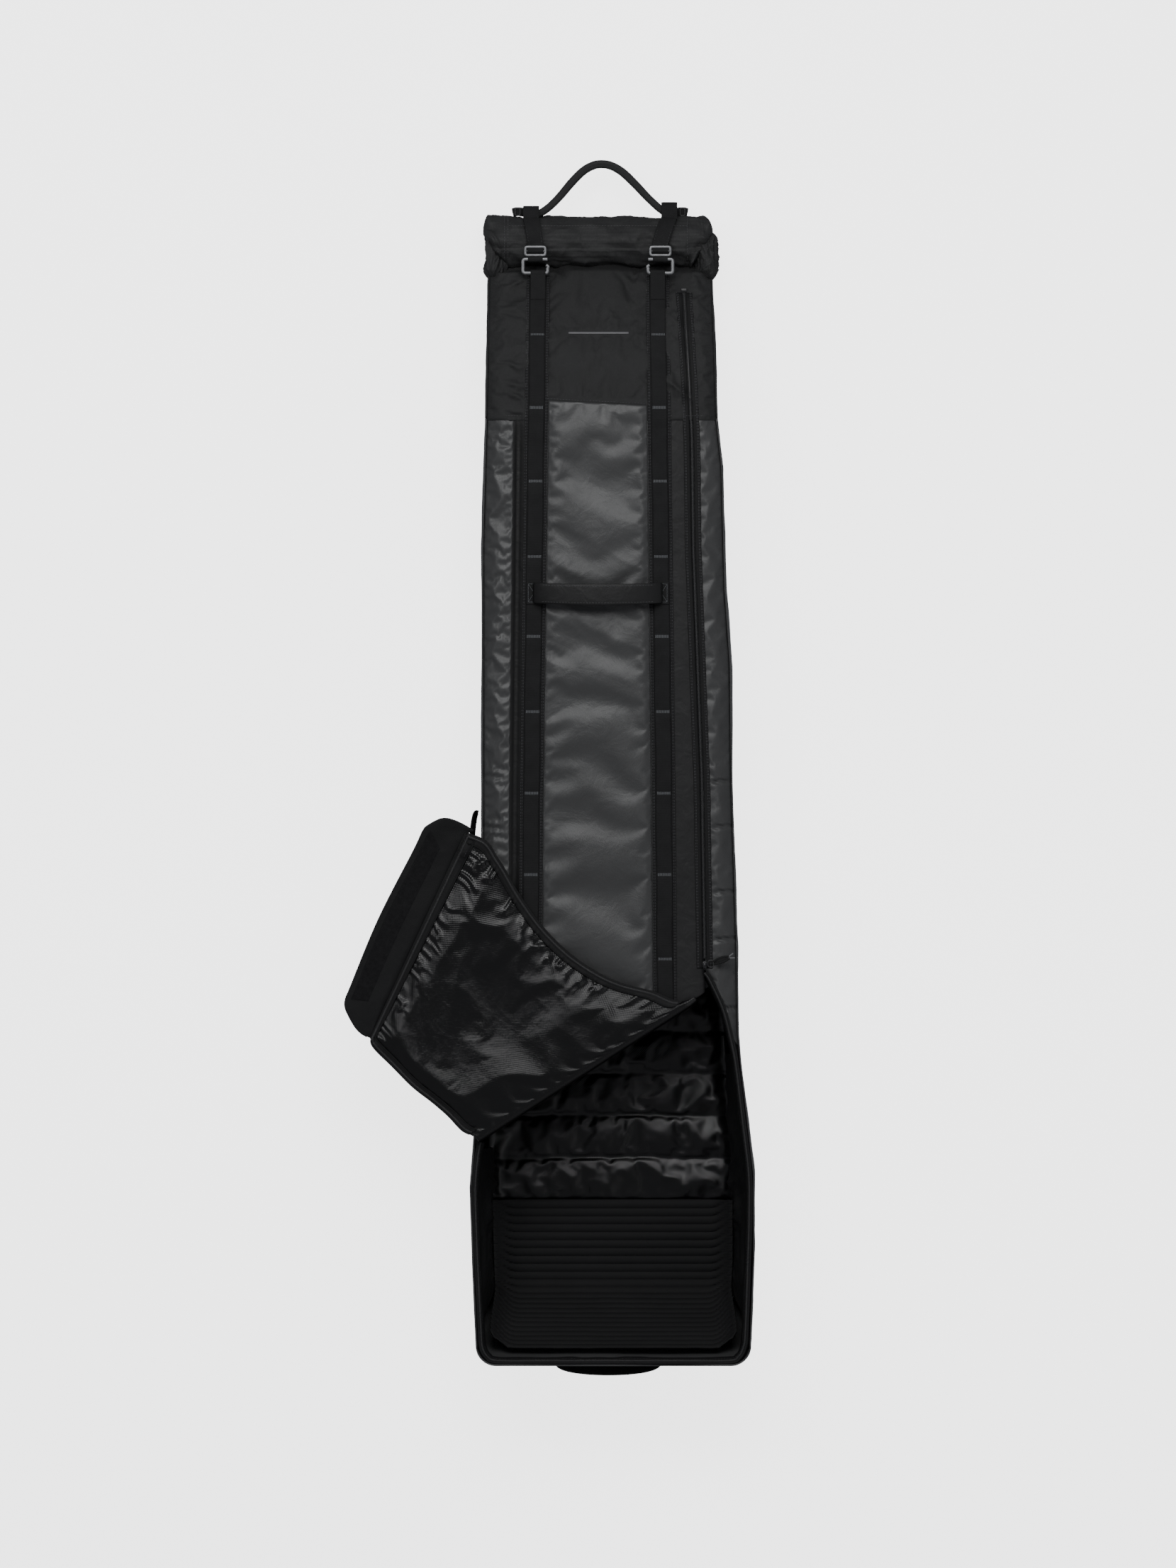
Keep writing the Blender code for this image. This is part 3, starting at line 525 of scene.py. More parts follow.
class Finish:
    """A material being wired: its shader and short ways to add and join nodes."""

    def __init__(self, name, color, roughness, metallic=0.0, **sockets):
        self.material = bpy.data.materials.new(name)
        self.material.use_nodes = True
        self.tree = self.material.node_tree
        self.shader = self.tree.nodes["Principled BSDF"]
        self.color = color
        self.shader.inputs["Base Color"].default_value = (*color, 1.0)
        self.shader.inputs["Roughness"].default_value = roughness
        self.shader.inputs["Metallic"].default_value = metallic
        for socket, value in sockets.items():
            self.shader.inputs[socket.replace("_", " ")].default_value = value
        self.place = self.tree.nodes.new("ShaderNodeTexCoord").outputs["Object"]
        surface = self.tree.nodes.new("ShaderNodeUVMap")
        surface.uv_map = "Surface"
        self.surface = surface.outputs["UV"]
        self.normal = None

    def math(self, operation, first, second=0.0, third=0.0):
        """Arithmetic node; each value is a number or another node's output."""
        node = self.tree.nodes.new("ShaderNodeMath")
        node.operation = operation
        for socket, value in zip(node.inputs, (first, second, third)):
            if hasattr(value, "is_linked"):
                self.tree.links.new(value, socket)
            else:
                socket.default_value = value
        return node.outputs[0]

    def cloud(self, scale, detail=3.0, roughness=0.5, distortion=0.0):
        """Noise from 0 to 1 in space."""
        node = self.tree.nodes.new("ShaderNodeTexNoise")
        node.inputs["Scale"].default_value = scale
        node.inputs["Detail"].default_value = detail
        node.inputs["Roughness"].default_value = roughness
        node.inputs["Distortion"].default_value = distortion
        self.tree.links.new(self.place, node.inputs["Vector"])
        return node.outputs["Fac"]

    def cells(self, scale):
        """Distance to the nearest of many scattered points."""
        node = self.tree.nodes.new("ShaderNodeTexVoronoi")
        node.inputs["Scale"].default_value = scale
        self.tree.links.new(self.place, node.inputs["Vector"])
        return node.outputs["Distance"]

    def axes(self):
        """The two surface coordinates, in metres."""
        node = self.tree.nodes.new("ShaderNodeSeparateXYZ")
        self.tree.links.new(self.surface, node.inputs[0])
        return node.outputs["X"], node.outputs["Y"]

    def wave(self, value, pitch):
        """Sine wave of one pitch, from -1 to 1."""
        return self.math("SINE", self.math("MULTIPLY", value, 2 * math.pi / pitch))

    def weave(self, pitch, slant=0.0):
        """Plain weave: the product of two crossed waves; slant turns it into a twill."""
        u, v = self.axes()
        lean = self.math("MULTIPLY_ADD", v, slant, u)
        return self.math("MULTIPLY", self.wave(lean, pitch), self.wave(v, pitch))

    def spread(self, value, low, high):
        """Range from low to high for a value from 0 to 1."""
        node = self.tree.nodes.new("ShaderNodeMapRange")
        node.inputs["To Min"].default_value = low
        node.inputs["To Max"].default_value = high
        self.tree.links.new(value, node.inputs["Value"])
        return node.outputs["Result"]

    def tint(self, value, dark, light):
        """Base colour between two shades of the finish's own colour."""
        node = self.tree.nodes.new("ShaderNodeMix")
        node.data_type = "RGBA"
        node.inputs["A"].default_value = (*[c * dark for c in self.color], 1.0)
        node.inputs["B"].default_value = (*[c * light for c in self.color], 1.0)
        self.tree.links.new(value, node.inputs["Factor"])
        self.tree.links.new(node.outputs["Result"], self.shader.inputs["Base Color"])

    def shine(self, value, low, high):
        """Roughness between two values."""
        self.tree.links.new(self.spread(value, low, high), self.shader.inputs["Roughness"])

    def relief(self, height, strength, depth):
        """Adds a bump on top of those already there."""
        node = self.tree.nodes.new("ShaderNodeBump")
        node.inputs["Strength"].default_value = strength
        node.inputs["Distance"].default_value = depth
        self.tree.links.new(height, node.inputs["Height"])
        if self.normal is not None:
            self.tree.links.new(self.normal, node.inputs["Normal"])
        self.normal = node.outputs["Normal"]
        self.tree.links.new(self.normal, self.shader.inputs["Normal"])


def woven_textile(look):
    """Matt heavy oxford weave with faint fading."""
    finish = Finish("woven_textile", look.textile, 0.66, Specular_IOR_Level=0.30)
    finish.tint(finish.cloud(9.0, 5.0), 0.75, 1.35)
    finish.relief(finish.weave(0.0016), 0.55, 0.0003)
    finish.relief(finish.cloud(1800.0, 2.0), 0.25, 0.0002)
    finish.relief(finish.cloud(30.0, 4.0, distortion=0.6), 0.30, 0.0020)
    finish.shine(finish.cloud(60.0), 0.58, 0.74)
    return finish.material


def coated_fabric(look):
    """Satin coated fabric with fine grain, soft crumples and rubbed high spots."""
    finish = Finish("coated_fabric", look.coated, 0.42, Specular_IOR_Level=0.42)
    finish.tint(finish.cloud(7.0, 6.0), 0.82, 1.22)
    finish.relief(finish.cells(1500.0), 0.22, 0.00018)
    finish.relief(finish.cloud(26.0, 5.0, 0.55, distortion=0.8), 0.42, 0.0030)
    finish.relief(finish.cloud(90.0, 3.0), 0.20, 0.0008)
    finish.shine(finish.cloud(18.0, 6.0), 0.34, 0.52)
    return finish.material


def dark_coated_painted_shade(look):
    """The coated fabric in black, darker towards the left of the bag and lighter towards the
    right: the darkening on the left is painted shade of the recess beside the left seam.
    """
    finish = Finish("dark_coated_fabric", look.dark, 0.50, Specular_IOR_Level=0.26)
    apart = finish.tree.nodes.new("ShaderNodeSeparateXYZ")
    finish.tree.links.new(finish.place, apart.inputs[0])
    # Painted shade: the colour runs darker towards the left in x, standing for the shade in the
    # recess by the left seam.
    across = finish.math("MULTIPLY_ADD", apart.outputs["X"], 1.6, 0.32)
    finish.tint(finish.math("MULTIPLY_ADD", finish.cloud(9.0, 5.0), 0.35, across), 0.45, 1.9)
    finish.relief(finish.cells(1500.0), 0.22, 0.00018)
    finish.relief(finish.cloud(34.0, 5.0, 0.55, distortion=0.8), 0.45, 0.0030)
    return finish.material


def glossy_lining(look):
    """Thin glossy lining with a fine cross weave and many small creases."""
    finish = Finish("glossy_lining", look.lining, 0.20, Specular_IOR_Level=0.38)
    finish.tint(finish.cloud(12.0, 4.0), 0.7, 1.5)
    finish.relief(finish.weave(0.0036), 0.42, 0.0003)
    finish.relief(finish.cloud(60.0, 5.0, 0.6, distortion=1.2), 0.22, 0.0012)
    finish.relief(finish.cloud(260.0, 3.0, 0.6), 0.30, 0.0005)
    finish.shine(finish.cloud(25.0, 5.0), 0.14, 0.26)
    return finish.material


def ribbed_webbing(look):
    """Dense webbing: cross ribs over a fine lengthwise herringbone."""
    finish = Finish("ribbed_webbing", look.webbing, 0.78, Specular_IOR_Level=0.18)
    v = finish.axes()[1]
    finish.tint(finish.cloud(40.0, 4.0), 0.7, 1.4)
    finish.relief(finish.wave(v, 0.0020), 0.50, 0.0003)
    finish.relief(finish.weave(0.0026, 1.0), 0.35, 0.0003)
    finish.relief(finish.cloud(2200.0, 2.0), 0.20, 0.0002)
    return finish.material


def matt_padding(look):
    """Matt padded fabric with a fine mesh."""
    finish = Finish("matt_padding", look.padding, 0.74, Specular_IOR_Level=0.22)
    finish.tint(finish.cloud(14.0, 5.0), 0.75, 1.3)
    finish.relief(finish.weave(0.0024), 0.45, 0.0003)
    finish.relief(finish.cloud(50.0, 4.0), 0.25, 0.0010)
    return finish.material


def zip_fabric(look):
    """Fine twill of the zip tapes."""
    finish = Finish("zip_fabric", look.zip_tape, 0.62, Specular_IOR_Level=0.20)
    finish.tint(finish.cloud(50.0, 3.0), 0.75, 1.3)
    finish.relief(finish.weave(0.0018, 1.0), 0.40, 0.0002)
    return finish.material


def moulded_coil(look):
    """Hard plastic of the zip's coil."""
    finish = Finish("moulded_coil", look.coil, 0.34, Specular_IOR_Level=0.35)
    finish.relief(finish.cloud(700.0, 2.0), 0.15, 0.0002)
    finish.shine(finish.cloud(90.0), 0.28, 0.42)
    return finish.material


def gunmetal(look):
    """Dark cast metal with a fine blasted grain and rubbed patches."""
    finish = Finish("gunmetal", look.metal, 0.34, 0.85)
    finish.tint(finish.cloud(120.0, 5.0), 0.75, 1.35)
    finish.relief(finish.cloud(1600.0, 3.0), 0.14, 0.0002)
    finish.shine(finish.cloud(70.0, 5.0), 0.36, 0.52)
    return finish.material


def thread(name, color):
    """Twisted sewing thread."""
    finish = Finish(name, color, 0.70, Specular_IOR_Level=0.25)
    finish.tint(finish.cloud(300.0), 0.8, 1.2)
    finish.relief(finish.cloud(2500.0, 2.0), 0.3, 0.0002)
    return finish.material


def loop_fabric(look):
    """Fuzzy loop side of the hook-and-loop band."""
    finish = Finish("loop_fabric", look.loop_band, 0.95, Specular_IOR_Level=0.10)
    finish.tint(finish.cloud(160.0, 4.0), 0.6, 1.5)
    finish.relief(finish.cloud(900.0, 4.0, 0.7), 0.8, 0.0010)
    return finish.material


FINISHES = {}


def finish_of(name):
    """Finish made earlier by the materials operator."""
    return FINISHES[name]


# ---------------------------------------------------------------- walls and back

def base_y(y):
    """The foot of a side wall ends before its rim does."""
    return y + (BASE_END_Y - RIM_END_Y) * np.clip((-0.600 - y) / 0.325, 0.0, 1.0)


def wall_top(side, y):
    """Top of a side wall: at the front's edge, or at the wavy open rim."""
    edge = left_edge(y) if side < 0 else right_edge(y)
    closed = front_z(edge - side * 0.0005, y) - 0.0005
    start = -0.595 if side < 0 else -0.440
    rim = RIM_Z + 0.0022 * noise(y * 17, y * 0 + side, 4)
    return closed + (rim - closed) * smooth((start + 0.03 - y) / 0.06)


def wall_point(side, y, level, depth):
    """Side wall: straight from foot to top, bowed out as a sine, and set in by depth."""
    edge = left_edge(y) if side < 0 else right_edge(y)
    top = wall_top(side, y)
    x = edge - side * BASE_INSET * (1.0 - level)
    low = base_y(y)
    along_y = low + (y - low) * level
    z = FLOOR_Z + (top - FLOOR_Z) * level
    swell = 0.006 * np.sin(np.pi * level)
    swell = swell + np.sin(np.pi * level) * 0.0016 * rumple(along_y * 7, z * 16, 21 + side)
    swell = swell + np.sin(np.pi * level) * 0.0010 * creases(along_y * 9, z * 26, 31 + side)
    x = x + side * (swell - depth)
    return np.stack([x, along_y + 0 * x, z], axis=-1)


def end_plan(part_of, y_end, inset):
    """Plan of the end wall: two quarter turns joined by a straight, and the inward way."""
    left = left_edge(-0.925) + inset
    right = right_edge(-0.925) - inset
    corner = CORNER_R
    turn = np.where(part_of < 0.5, np.pi + np.clip(part_of / 0.25, 0, 1) * np.pi / 2,
                    1.5 * np.pi + np.clip((part_of - 0.75) / 0.25, 0, 1) * np.pi / 2)
    share = np.clip((part_of - 0.25) / 0.5, 0.0, 1.0)
    centre = left + corner + (right - left - 2 * corner) * share
    way = np.stack([-np.cos(turn), -np.sin(turn)], -1)
    plan = np.stack([centre, np.full_like(centre, y_end + corner)], -1) - way * corner
    return plan, way


def end_point(part_of, level, depth):
    """Leaning end wall between its foot and its rim, bowed out as a sine, set in by depth."""
    top, way = end_plan(part_of, RIM_END_Y, 0.0)
    foot, _ = end_plan(part_of, BASE_END_Y, BASE_INSET)
    span = level[..., None]
    swell = 0.006 + 0.0016 * rumple(part_of * 9, level * 4, 41)
    plan = foot + (top - foot) * span - way * (swell * np.sin(np.pi * level) - depth)[..., None]
    rim = RIM_Z + 0.0020 * noise(part_of * 8, part_of * 0, 6)
    z = FLOOR_Z + (rim - FLOOR_Z) * level
    return np.concatenate([plan, z[..., None]], -1)


def mesh_of(u_count, v_count):
    """Two arrays from 0 to 1 over a grid."""
    return np.meshgrid(np.linspace(0, 1, u_count), np.linspace(0, 1, v_count), indexing="ij")


def build_walls():
    """Outer skins of the side walls and the end wall."""
    coated, textile = finish_of("coated"), finish_of("textile")
    split = SPLIT_Y - 0.001
    for side, word in ((-1, "left"), (1, "right")):
        for part_word, start, end, columns, material, slot in (
                ("", WALL_LOW_Y, split, 240, coated, "coated"),
                ("upper_", SPLIT_Y, NECK_Y, 60, textile, "textile")):
            u, v = mesh_of(columns, 28)
            grid = wall_point(side, start + (end - start) * u, v, 0.0)
            name = word + "_" + part_word + "wall"
            piece(name + "_skin", skin(grid, SKIN_THICK, flip=side > 0), [material], "bag",
                  [name])
    u, v = mesh_of(160, 28)
    piece("end_wall_skin", skin(end_point(u, v, 0.0), SKIN_THICK, flip=True), [coated], "bag",
          ["end_wall"])


def build_back():
    """Back skins: level sheets that follow the feet of the walls."""
    u, v = mesh_of(200, 16)
    y = BACK_LOW_Y + (SPLIT_Y - 0.001 - BACK_LOW_Y) * u
    top_y = np.where(y < -0.6, -0.600 + (y + 0.600) * 0.325 / (0.325 - 0.104), y)
    reach = np.clip((BASE_END_Y + CORNER_R - y) / CORNER_R, 0.0, 1.0)
    round_off = CORNER_R * (1.0 - np.sqrt(np.clip(1.0 - reach ** 2, 0.0, 1.0)))
    upper_u, upper_v = mesh_of(40, 40)
    upper_y = SPLIT_Y + (NECK_Y - SPLIT_Y) * upper_u
    for name, body, slot, edge_y, y, v, inset in (
            ("back_skin", "back_panel", "coated", top_y, y, v, round_off),
            ("upper_back_skin", "upper_back", "textile", upper_y, upper_y, upper_v, 0.0)):
        left = left_edge(edge_y) + BASE_INSET
        right = right_edge(edge_y) - BASE_INSET
        x = left + inset + (right - left - 2 * inset) * v
        grid = np.stack([x, y, 0.0080 + 0 * x], -1)
        piece(name, skin(grid, BACK_THICK, flip=True), [finish_of(slot)], "bag", [body])


# ---------------------------------------------------------------- front

def front_strip(low_x, high_x, low_y, columns, rows):
    """Grid on the front between two edges that are functions of y, from low_y(x) up to the
    split; the long edges are tucked down by a bell so that a seam shows."""
    top = SPLIT_Y - 0.001
    u, v = mesh_of(columns, rows)
    start = low_y(low_x(-0.45) + (high_x(-0.35) - low_x(-0.45)) * u)
    y = start + (top - start) * v
    x = low_x(y) + (high_x(y) - low_x(y)) * u
    z = front_z(x, y)
    for gap in (x - low_x(y), high_x(y) - x):
        z = z - SEAM_TUCK * bump(gap, 0.0022)
    return np.stack([x, y, z], -1)


def border(grid):
    """True at the outermost points of a grid."""
    edge = np.zeros(grid.shape[:2], bool)
    edge[[0, -1]] = True
    edge[:, [0, -1]] = True
    return edge


def fold_edge(x):
    """Lower edge of the closed front, just above the fold."""
    return fold_y(x) + 0.0060


def open_edge(x):
    """Lower edge of the right side panel, beside the opening."""
    share = np.clip((x - 0.1690) / (0.2215 - 0.1690), 0.0, 1.0)
    return -0.3010 - 0.125 * share ** 1.15


def open_side(y):
    """X of the right side panel's left edge: beside the zip, then out along the opening."""
    corner = np.interp(y, [-0.426, -0.364, -0.315, -0.300, -0.280],
                       [0.2150, 0.2015, 0.1790, 0.1690, 0.0])
    return np.maximum(zip_x(y) + 0.0006, corner)


def quilted_side(name, grid, rows, slant, x_from, forces, body):
    """Padded side panel of the front, held at its border and at its slanting quilting rows."""
    held = border(grid)
    for row in rows:
        held |= np.abs(grid[..., 1] - row + slant * (grid[..., 0] - x_from)) < 0.0026
    grid = finer(settle(grid, held, **forces))
    side = piece(name, skin(grid, SKIN_THICK), [finish_of("coated")], "bag", [body])


def build_front_skins():
    """The two quilted side panels and the long front panel between them."""
    grid = front_strip(lambda y: left_edge(y) + 0.0004, lambda y: seam_x(y) - 0.0004, fold_edge,
                       16, 230)
    quilted_side("left_side_skin", grid, QUILT_LEFT, 0.10, -0.18,
                 {"grow": 0.020, "stiff": 3.0, "cap": 0.007}, "left_side_panel")
    grid = front_strip(lambda y: seam_x(y) + 0.0004, lambda y: zip_x(y) - 0.0006, fold_edge,
                       72, 380)
    front = piece("front_skin", skin(grid, SKIN_THICK), [finish_of("coated"), finish_of("dark")],
                  "bag", ["front_panel"])
    middle = np.empty(3 * len(front.data.polygons), np.float32)
    front.data.polygons.foreach_get("center", middle)
    x, y = middle.reshape(-1, 3)[:, 0], middle.reshape(-1, 3)[:, 1]
    # The strips outside the webbings are black coated fabric; on the left strip the finish also
    # darkens, as painted shade of the recess between the seam and the webbing.
    outside = (x < web_x(LEFT_WEB, y)) | (x > web_x(RIGHT_WEB, y))
    front.data.polygons.foreach_set("material_index", outside.astype(np.int32))
    grid = front_strip(open_side, lambda y: right_edge(y) - 0.0004, open_edge, 18, 230)
    quilted_side("right_side_skin", grid, QUILT_RIGHT, -0.06, 0.2,
                 {"grow": 0.006, "pressure": 0.7, "stiff": 6.0, "cap": 0.006},
                 "right_side_panel")


def build_upper_front():
    """Woven upper front, held at its webbings, its zip and its print, with a stitched hem."""
    u, v = mesh_of(76, 60)
    y = SPLIT_Y - 0.004 + (NECK_Y - SPLIT_Y + 0.022) * v
    x = left_edge(y) + (right_edge(y) - left_edge(y)) * u
    grid = front_point(x, y, 0.0008)
    grid[..., 2] -= 0.050 * np.clip((y - 0.8620) / 0.020, 0, 1) ** 1.5
    held = (border(grid) | (np.abs(x - web_x(LEFT_WEB, y)) < 0.018)
            | (np.abs(x - web_x(RIGHT_WEB, y)) < 0.018) | (np.abs(x - zip_x(y)) < 0.014)
            | (np.abs(y - 0.7622) < 0.006) & (np.abs(x + 0.009) < 0.055)
            | (y < 0.655) & (np.abs(x + 0.010) < 0.110))
    grid = finer(settle(grid, held, 0.036, stiff=0.6, cap=0.008))
    line_x = np.linspace(-0.188, 0.182, 60)
    middle = (line_x > web_x(LEFT_WEB, 0.63) + 0.012) & (line_x < web_x(RIGHT_WEB, 0.63) - 0.012)
    line_y = np.where(middle, 0.6478 - 0.0080 * (line_x + 0.09) / 0.16, SPLIT_Y - 0.0005)
    hem = front_point(line_x, line_y, 0.0016)
    sewn = stitches(hem, (0.0, 1.0, 0.0), 0.004)
    piece("upper_front_skin", [skin(grid, SKIN_THICK), sewn],
          [finish_of("textile"), finish_of("dark_thread")], "bag", ["upper_front"])


def build_centre_panel():
    """Centre panel between the webbings, and the printed bar on the upper front."""
    u, v = mesh_of(36, 196)
    left = web_x(LEFT_WEB, 0.1) + BACKING_EDGE
    right = web_x(RIGHT_WEB, 0.1) - BACKING_EDGE
    start = fold_y(left + (right - left) * u) + 0.0150
    y = start + (0.6480 - 0.0080 * u - start) * v
    low, high = web_x(LEFT_WEB, y) + BACKING_EDGE, web_x(RIGHT_WEB, y) - BACKING_EDGE
    x = low + (high - low) * u
    puff = 0.0024 * (1 - bump(x - low, 0.006)) * (1 - bump(high - x, 0.006))
    pull = bump(y - HANDLE_Y, 0.13) * bump(np.abs(x) - 0.06, 0.07)
    puff = puff + 0.0020 * pull * creases((y - 0.33) * 16 + x * 7, x * 7, 77)
    grid = front_point(x, y, 0.0018 + puff)
    held = border(grid) | (np.abs(y - HANDLE_Y) < 0.006) & ((u < 0.14) | (u > 0.86))
    grid = finer(settle(grid, held, 0.010, stiff=12.0, cap=0.005))
    grid[..., 2] = np.maximum(grid[..., 2], front_z(grid[..., 0], grid[..., 1]) + 0.0014)
    rows = [skin(grid, 0.0012)]
    line_y = np.linspace(-0.34, SPLIT_Y - 0.008, 300)
    for line, shift in ((LEFT_WEB, 0.0225), (RIGHT_WEB, -0.0225)):
        line_x = web_x(line, line_y) + shift
        rows.append(stitches(front_point(line_x, line_y, 0.0030), (1, 0, 0)))
    piece("centre_panel_skin", rows, [finish_of("coated"), finish_of("dark_thread")], "bag",
          ["centre_panel"])

    u, v = mesh_of(40, 5)
    x, y = -0.0590 + 0.1000 * u, 0.7622 + 0.0026 * (v - 0.5)
    piece("printed_bar", skin(front_point(x, y, 0.0016), 0.0005), [finish_of("print")], "bag")


# ---------------------------------------------------------------- roll

def build_roll():
    """Rolled top edge: a circle that shrinks slightly round the turn, so a step shows where the
    cloth ends, creased along its length, dented under the straps and gathered at both ends,
    where a crumpled fold hangs down."""
    s = np.linspace(0, 1, 260)
    x = ROLL_LEFT + (ROLL_RIGHT - ROLL_LEFT) * s
    turn = np.linspace(0, 2 * np.pi, 145)[:-1]
    near_left = np.clip((x - ROLL_LEFT) / 0.030, 0, 1)
    near_right = np.clip((ROLL_RIGHT - x) / 0.030, 0, 1)
    blunt_left, blunt_right = np.clip(near_left * 2.2, 0, 1), np.clip(near_right * 2.2, 0, 1)
    close = np.sqrt(1 - (1 - blunt_left) ** 2) * np.sqrt(1 - (1 - blunt_right) ** 2)
    close = np.clip(close, 0.02, 1.0) ** 0.8
    angle = turn[None, :]
    step = 1.0 - 0.075 * ((angle - 1.9) % (2 * np.pi)) / (2 * np.pi)
    radius = ROLL_SKIN_R * step * close[:, None]
    mid = (x[:, None] + 0 * angle)
    radius = radius + 0.0009 * rumple(mid * 26, angle * 1.6, 51) + 0.0008 * creases(
        mid * 9, angle * 3.0, 55)
    for spot in (-0.118, 0.100):
        radius = radius - 0.0016 * bump(mid - spot, 0.016)
    ends = 1 - smooth(near_left * 0.75)[:, None] * smooth(near_right * 0.75)[:, None]
    radius = radius * (1 + ends * (0.11 * np.sin(4 * angle + 60 * mid) + 0.09 * np.sin(
        7 * angle - 90 * mid) + 0.14 * creases(angle * 1.3, mid * 40, 57)))
    hem = bump((angle - 1.62), 0.03) * 0.0008 - bump((angle - 1.50), 0.02) * 0.0008
    radius = radius + hem * close[:, None]
    path = np.stack([x, ROLL_Y + 0 * x, ROLL_Z + 0 * x], -1)
    profile = np.stack([radius * np.cos(angle), radius * np.sin(angle)], -1)
    roll = sweep(path, (0.0, 1.0, 0.0), profile)
    at = roll["verts"]
    for sign, edge in ((-1, ROLL_LEFT), (1, ROLL_RIGHT)):
        part_in = smooth((0.052 - sign * (edge - at[:, 0])) / 0.052)
        low_side = np.clip((ROLL_Y + 0.012 - at[:, 1]) / 0.050, 0, 1)
        at[:, 0] -= sign * 0.030 * part_in * low_side
    line = np.stack([np.linspace(-0.160, 0.140, 120), np.full(120, ROLL_Y + 0.0262),
                     np.full(120, ROLL_Z + 0.0352)], -1)
    rows = [roll, stitches(line, (0, 1, 0))]
    turn = np.linspace(0.2, 2.4, 60)
    for x_line in (-0.1660, -0.1600, 0.1390):
        ring = np.stack([np.full(60, x_line), ROLL_Y + 0.0432 * np.cos(turn),
                         ROLL_Z + 0.0432 * np.sin(turn)], -1)
        rows.append(stitches(ring, (1, 0, 0)))
    turn = np.linspace(0, 2 * np.pi, 97)[:-1]
    t = np.linspace(0, 1, 70)
    for side, outer in ((-1, -0.2000), (1, 0.1910)):
        middle = outer - side * (0.0230 - 0.0040 * t)
        spine = np.stack([middle, 0.9330 - 0.0830 * t, 0.0600 + 0.0080 * t], -1)
        lobes = 1 + 0.15 * np.sin(3 * turn[None] + 4 * t[:, None] + side) + 0.24 * creases(
            turn[None] * 1.6, t[:, None] * 2.5 + side, 65)
        fade = (np.clip(t / 0.15, 0.05, 1) * np.clip((1.02 - t) / 0.2, 0.05, 1)) ** 0.4
        lobes = lobes * fade[:, None] * 0.92
        profile = np.stack([0.0215 * lobes * np.cos(turn), 0.0300 * lobes * np.sin(turn)], -1)
        rows.append(sweep(spine, (1.0, 0.0, 0.0), profile))
    piece("rolled_edge", rows, [finish_of("textile"), finish_of("dark_thread")], "bag",
          ["top_roll", "roll_end_left", "roll_end_right"])


# ---------------------------------------------------------------- webbing

TACKS = (0.7587, 0.6372, 0.5145, 0.3894, 0.2561, 0.1310, -0.0047, -0.1404, -0.2808)


def web_path(line, low, high, lift, count=400):
    """Points of a webbing's middle line on the front."""
    y = np.linspace(low, high, count)
    return front_point(web_x(line, y), y, lift)


def build_webbing():
    """Backing strips with two stitched edges, the webbing that bows up between its bar tacks,
    and the light bar tacks themselves."""
    webbing, sewn = finish_of("webbing"), finish_of("dark_thread")
    for line, word, low in ((LEFT_WEB, "left", -0.505), (RIGHT_WEB, "right", -0.365)):
        path = web_path(line, low, 0.858, 0.0014)
        rows = [strap(path, (1, 0, 0), 0.0390, 0.0016, count=12)]
        rows += seams(path, (1, 0, 0), (-0.0178, -0.0155, 0.0155, 0.0178), [0, 0, 0.0010])
        piece(word + "_backing_strip", rows, [webbing, sewn], "bag", [word + "_backing"])
        tacks = np.array(sorted(t for t in TACKS if t > low + 0.02))
        y = np.linspace(low + 0.002, 0.832, 700)
        marks = np.concatenate([[low], tacks, [0.860]])
        index = np.clip(np.searchsorted(marks, y) - 1, 0, len(marks) - 2)
        share = (y - marks[index]) / (marks[index + 1] - marks[index])
        bow = 0.0034 * (1 - np.abs(2 * np.clip(share, 0, 1) - 1) ** 6) ** 0.8
        bow = bow * (0.8 + 0.3 * np.sin(index * 2.3))
        path = front_point(web_x(line, y) + 0.0006 * np.sin(y * 31), y, 0.0036 + bow)
        around = np.linspace(-0.75 * np.pi, 0.62 * np.pi, 16)
        loop = np.stack([np.full(16, web_x(line, 0.84)),
                         HOOK_Y - HOOK_LOW + 0.0046 * np.cos(around),
                         HOOK_Z + 0.0046 * np.sin(around)], -1)
        tail_y = np.linspace(0.8520, 0.8180, 6)
        tail = front_point(np.full(6, web_x(line, 0.82)), tail_y, 0.0105)
        tail_end = front_point(web_x(line, 0.818), 0.818, 0.0085)
        tail[:, 2] = np.linspace(0.1222, float(tail_end[2]), 6)
        whole = np.concatenate([path, resample(np.concatenate([path[-1:], loop, tail]), 90)[1:]])
        rows = [strap(whole, (1, 0, 0), 0.0250, 0.0018, count=14)]
        for y_tack in tacks:
            spot = front_point(np.array([web_x(line, y_tack)]), np.array([y_tack]), 0.0050)
            for shift in (-0.0009, 0.0009):
                across = np.linspace(-0.0105, 0.0105, 14)
                bar = spot + np.stack([across, np.full(14, shift), 0 * across], -1)
                rows.append(copies(pill(0.0036, 0.0011, 0.0012),
                                   (bar, np.tile([1.0, 0, 0], (14, 1)),
                                    np.tile([0.0, 1.0, 0], (14, 1))), 1))
        piece(word + "_webbing_chain", rows, [webbing, finish_of("light_thread")], "bag",
              [word + "_webbing"])


# ---------------------------------------------------------------- top straps

def rod(points, width, thick, count):
    """Cast metal bar of rounded section along a smooth path."""
    return sweep(resample(points, count), (0, 0, 1), oval(thick, width, 12, 0.7))


